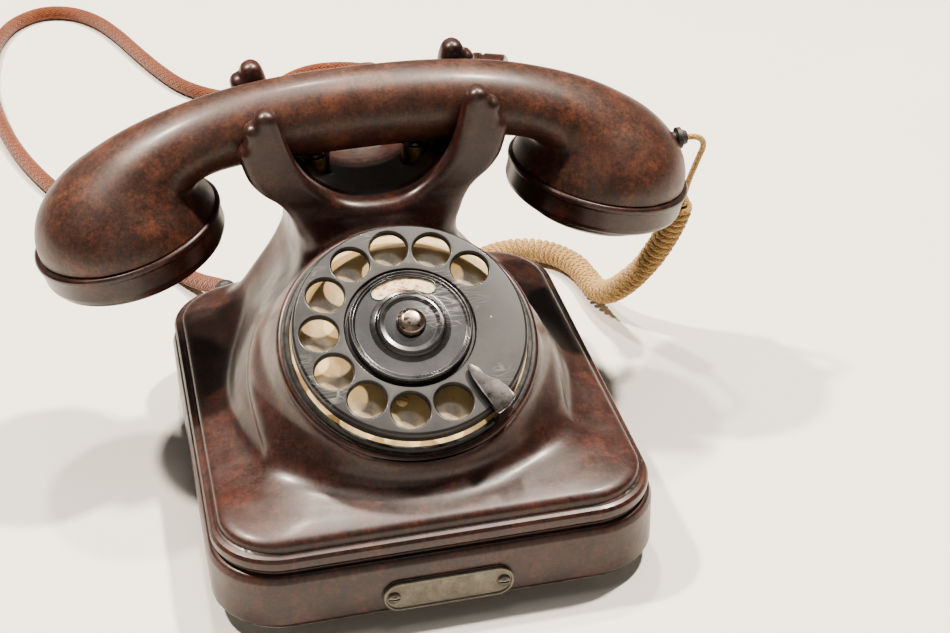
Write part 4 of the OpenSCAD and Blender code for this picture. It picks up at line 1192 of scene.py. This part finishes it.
def window_outline(half_wide):
    """Clockwise slot bent round the dial's centre, with round ends."""
    outline = [polar(WINDOW_R + half_wide, a) for a in np.linspace(-WINDOW_A, WINDOW_A, 33)]
    outline += end_arc(WINDOW_R, WINDOW_A, half_wide, 0)
    outline += [polar(WINDOW_R - half_wide, a) for a in np.linspace(WINDOW_A, -WINDOW_A, 33)]
    return outline + end_arc(WINDOW_R, -WINDOW_A, half_wide, 180)


def make_holder():
    """Card holder: rolled outer bead, sunk ring, raised middle with its own bead, and the card's window."""
    outline = rounded([
        (2.15, 0.5, 0), (2.15, 2.5, 0), (5.4, 2.5, 0.5), (8.6, 2.2, 1.5), (10.1, 2.5, 0.6),
        (11.0, 2.35, 0.5), (11.6, 1.5, 0.8), (13.4, 1.0, 1.5), (18.3, 1.0, 0.8), (18.9, 1.4, 0.3),
        (19.25, 1.2, 0.2),
        (19.6, 1.75, 0.3), (20.1, 1.75, 0.3), (HOLDER_R, 1.3, 0.3), (HOLDER_R, 0, 0.1), (18.6, 0, 0),
        (18.6, 0.5, 0)], 0.3, steps=5)
    edge = window_outline(WINDOW_W / 2)[::-1]
    window = skin([[(x, y, z) for x, y in edge] for z in (-2, 4)])
    cup = boolean(lathe(outline, 192), [window])
    dial_piece("card_holder_cup", cup, "holder_enamel", ("card_holder",), sharp=30)


def make_window_rim():
    """Rolled edge round the window."""
    line = np.array([(x, y, 0.95) for x, y in window_outline(WINDOW_W / 2 + 0.1)])
    rings = []
    for before, here, after in zip(np.roll(line, 1, 0), line, np.roll(line, -1, 0)):
        ahead = (after - before) / np.linalg.norm(after - before)
        out = np.array((-ahead[1], ahead[0], 0))
        rings.append([here + 0.3 * (math.cos(a) * out + math.sin(a) * np.array((0, 0, 0.8)))
                      for a in np.arange(10) * 2 * math.pi / 10])
    dial_piece("window_rim", skin(rings, closed=True), "holder_enamel", sharp=60)


def make_knob():
    """Domed centre nut with two pits for its key."""
    outline = rounded([(0, 2.6, 0), (4.7, 2.6, 0.2), (4.95, 3.4, 0.5), (4.5, 4.9, 1.5), (2.9, 6.1, 2.4),
                       (0, 6.5, 0)], 0.5, steps=6)
    drill = lathe([(0, -1.2), (0.55, -1.2), (0.6, 2), (0, 2)], 16)
    places = [polar(3.3, angle) for angle in (-33, 147)]
    pits = [(drill[0] + (x, y, 5.7), drill[1]) for x, y in places]
    dial_piece("dial_knob", boolean(lathe(outline, 64), pits), "nickel", ("centre_knob",))


def dial_outline(corners, own_radius, radius, steps):
    """Rounded outline from dial radii and clockwise angles, turned anticlockwise."""
    outline = rounded([(*polar(r, a), own_radius) for r, a in corners], radius, steps=steps)
    x, y = outline.T
    area = float(x @ np.roll(y, -1) - y @ np.roll(x, -1)) / 2
    return outline if area > 0 else outline[::-1]


def make_stop():
    """Pressed finger stop: a narrow tongue that widens to its foot, with a turned-down end."""
    tongue = [(24.1, 136), (23.4, 138.4), (24.6, 141.4), (28, 144.9), (32.4, 146.7), (37, 147.6),
              (41.8, 149.1), (42.3, 142.8), (41.9, 136.8), (37.8, 135), (34.9, 134.8), (31.6, 136.4),
              (28.8, 136.9), (26.2, 135.1)]
    outline = dial_outline(tongue, 1.1, 1.0, 4)
    middle = outline.mean(0)
    rings = []
    for grow, z in ((-0.3, 0.9), (0, 1.0), (0.12, 1.3), (0.12, 1.9), (-0.05, 2.15), (-0.4, 2.25)):
        scale = 1 + grow / 7
        rings.append([(*(middle + (p - middle) * scale), z) for p in outline])
    end = [(40.4, 148.4), (42.2, 148.4), (42.5, 142.8), (42.2, 137.4), (40.4, 137.4)]
    foot = skin([[(x, y, z) for x, y in dial_outline(end, 0.4, 0.4, 5)] for z in (-6.9, 1.9)])
    blade = boolean(skin(rings), [foot], "UNION")
    dial_piece("finger_stop_blade", blade, "stop_nickel", ("finger_stop",), "base", 25)


# ---- nameplate ----

def make_nameplate():
    """Blank stadium plate with a raised rim."""
    steps = ((-0.1, 0.0), (0, 0.35), (0, 1.1), (0.3, 1.45), (0.8, 1.5), (1.05, 1.3), (1.15, 0.95))
    rings = []
    for inset, height in steps:
        r = 5.75 - inset
        ring = [(16 + r * math.cos(a), r * math.sin(a)) for a in np.linspace(-math.pi / 2, math.pi / 2, 25)]
        ring += [(-x, -z) for x, z in ring]
        rings.append([(x, BODY_FRONT - height, PLATE_MID_Z + z) for x, z in ring])
    points, faces = skin(rings)
    piece("blank_nameplate", points, faces, "base", "nameplate_metal", ("nameplate",), sharp=30)


# ---- everything ----

make_camera()
dress_cad_nodes()
make_cords()
make_housing()
make_grip()
make_caps()
make_wheel()
make_holder()
make_window_rim()
make_knob()
make_stop()
make_nameplate()
make_stage()
make_lights()
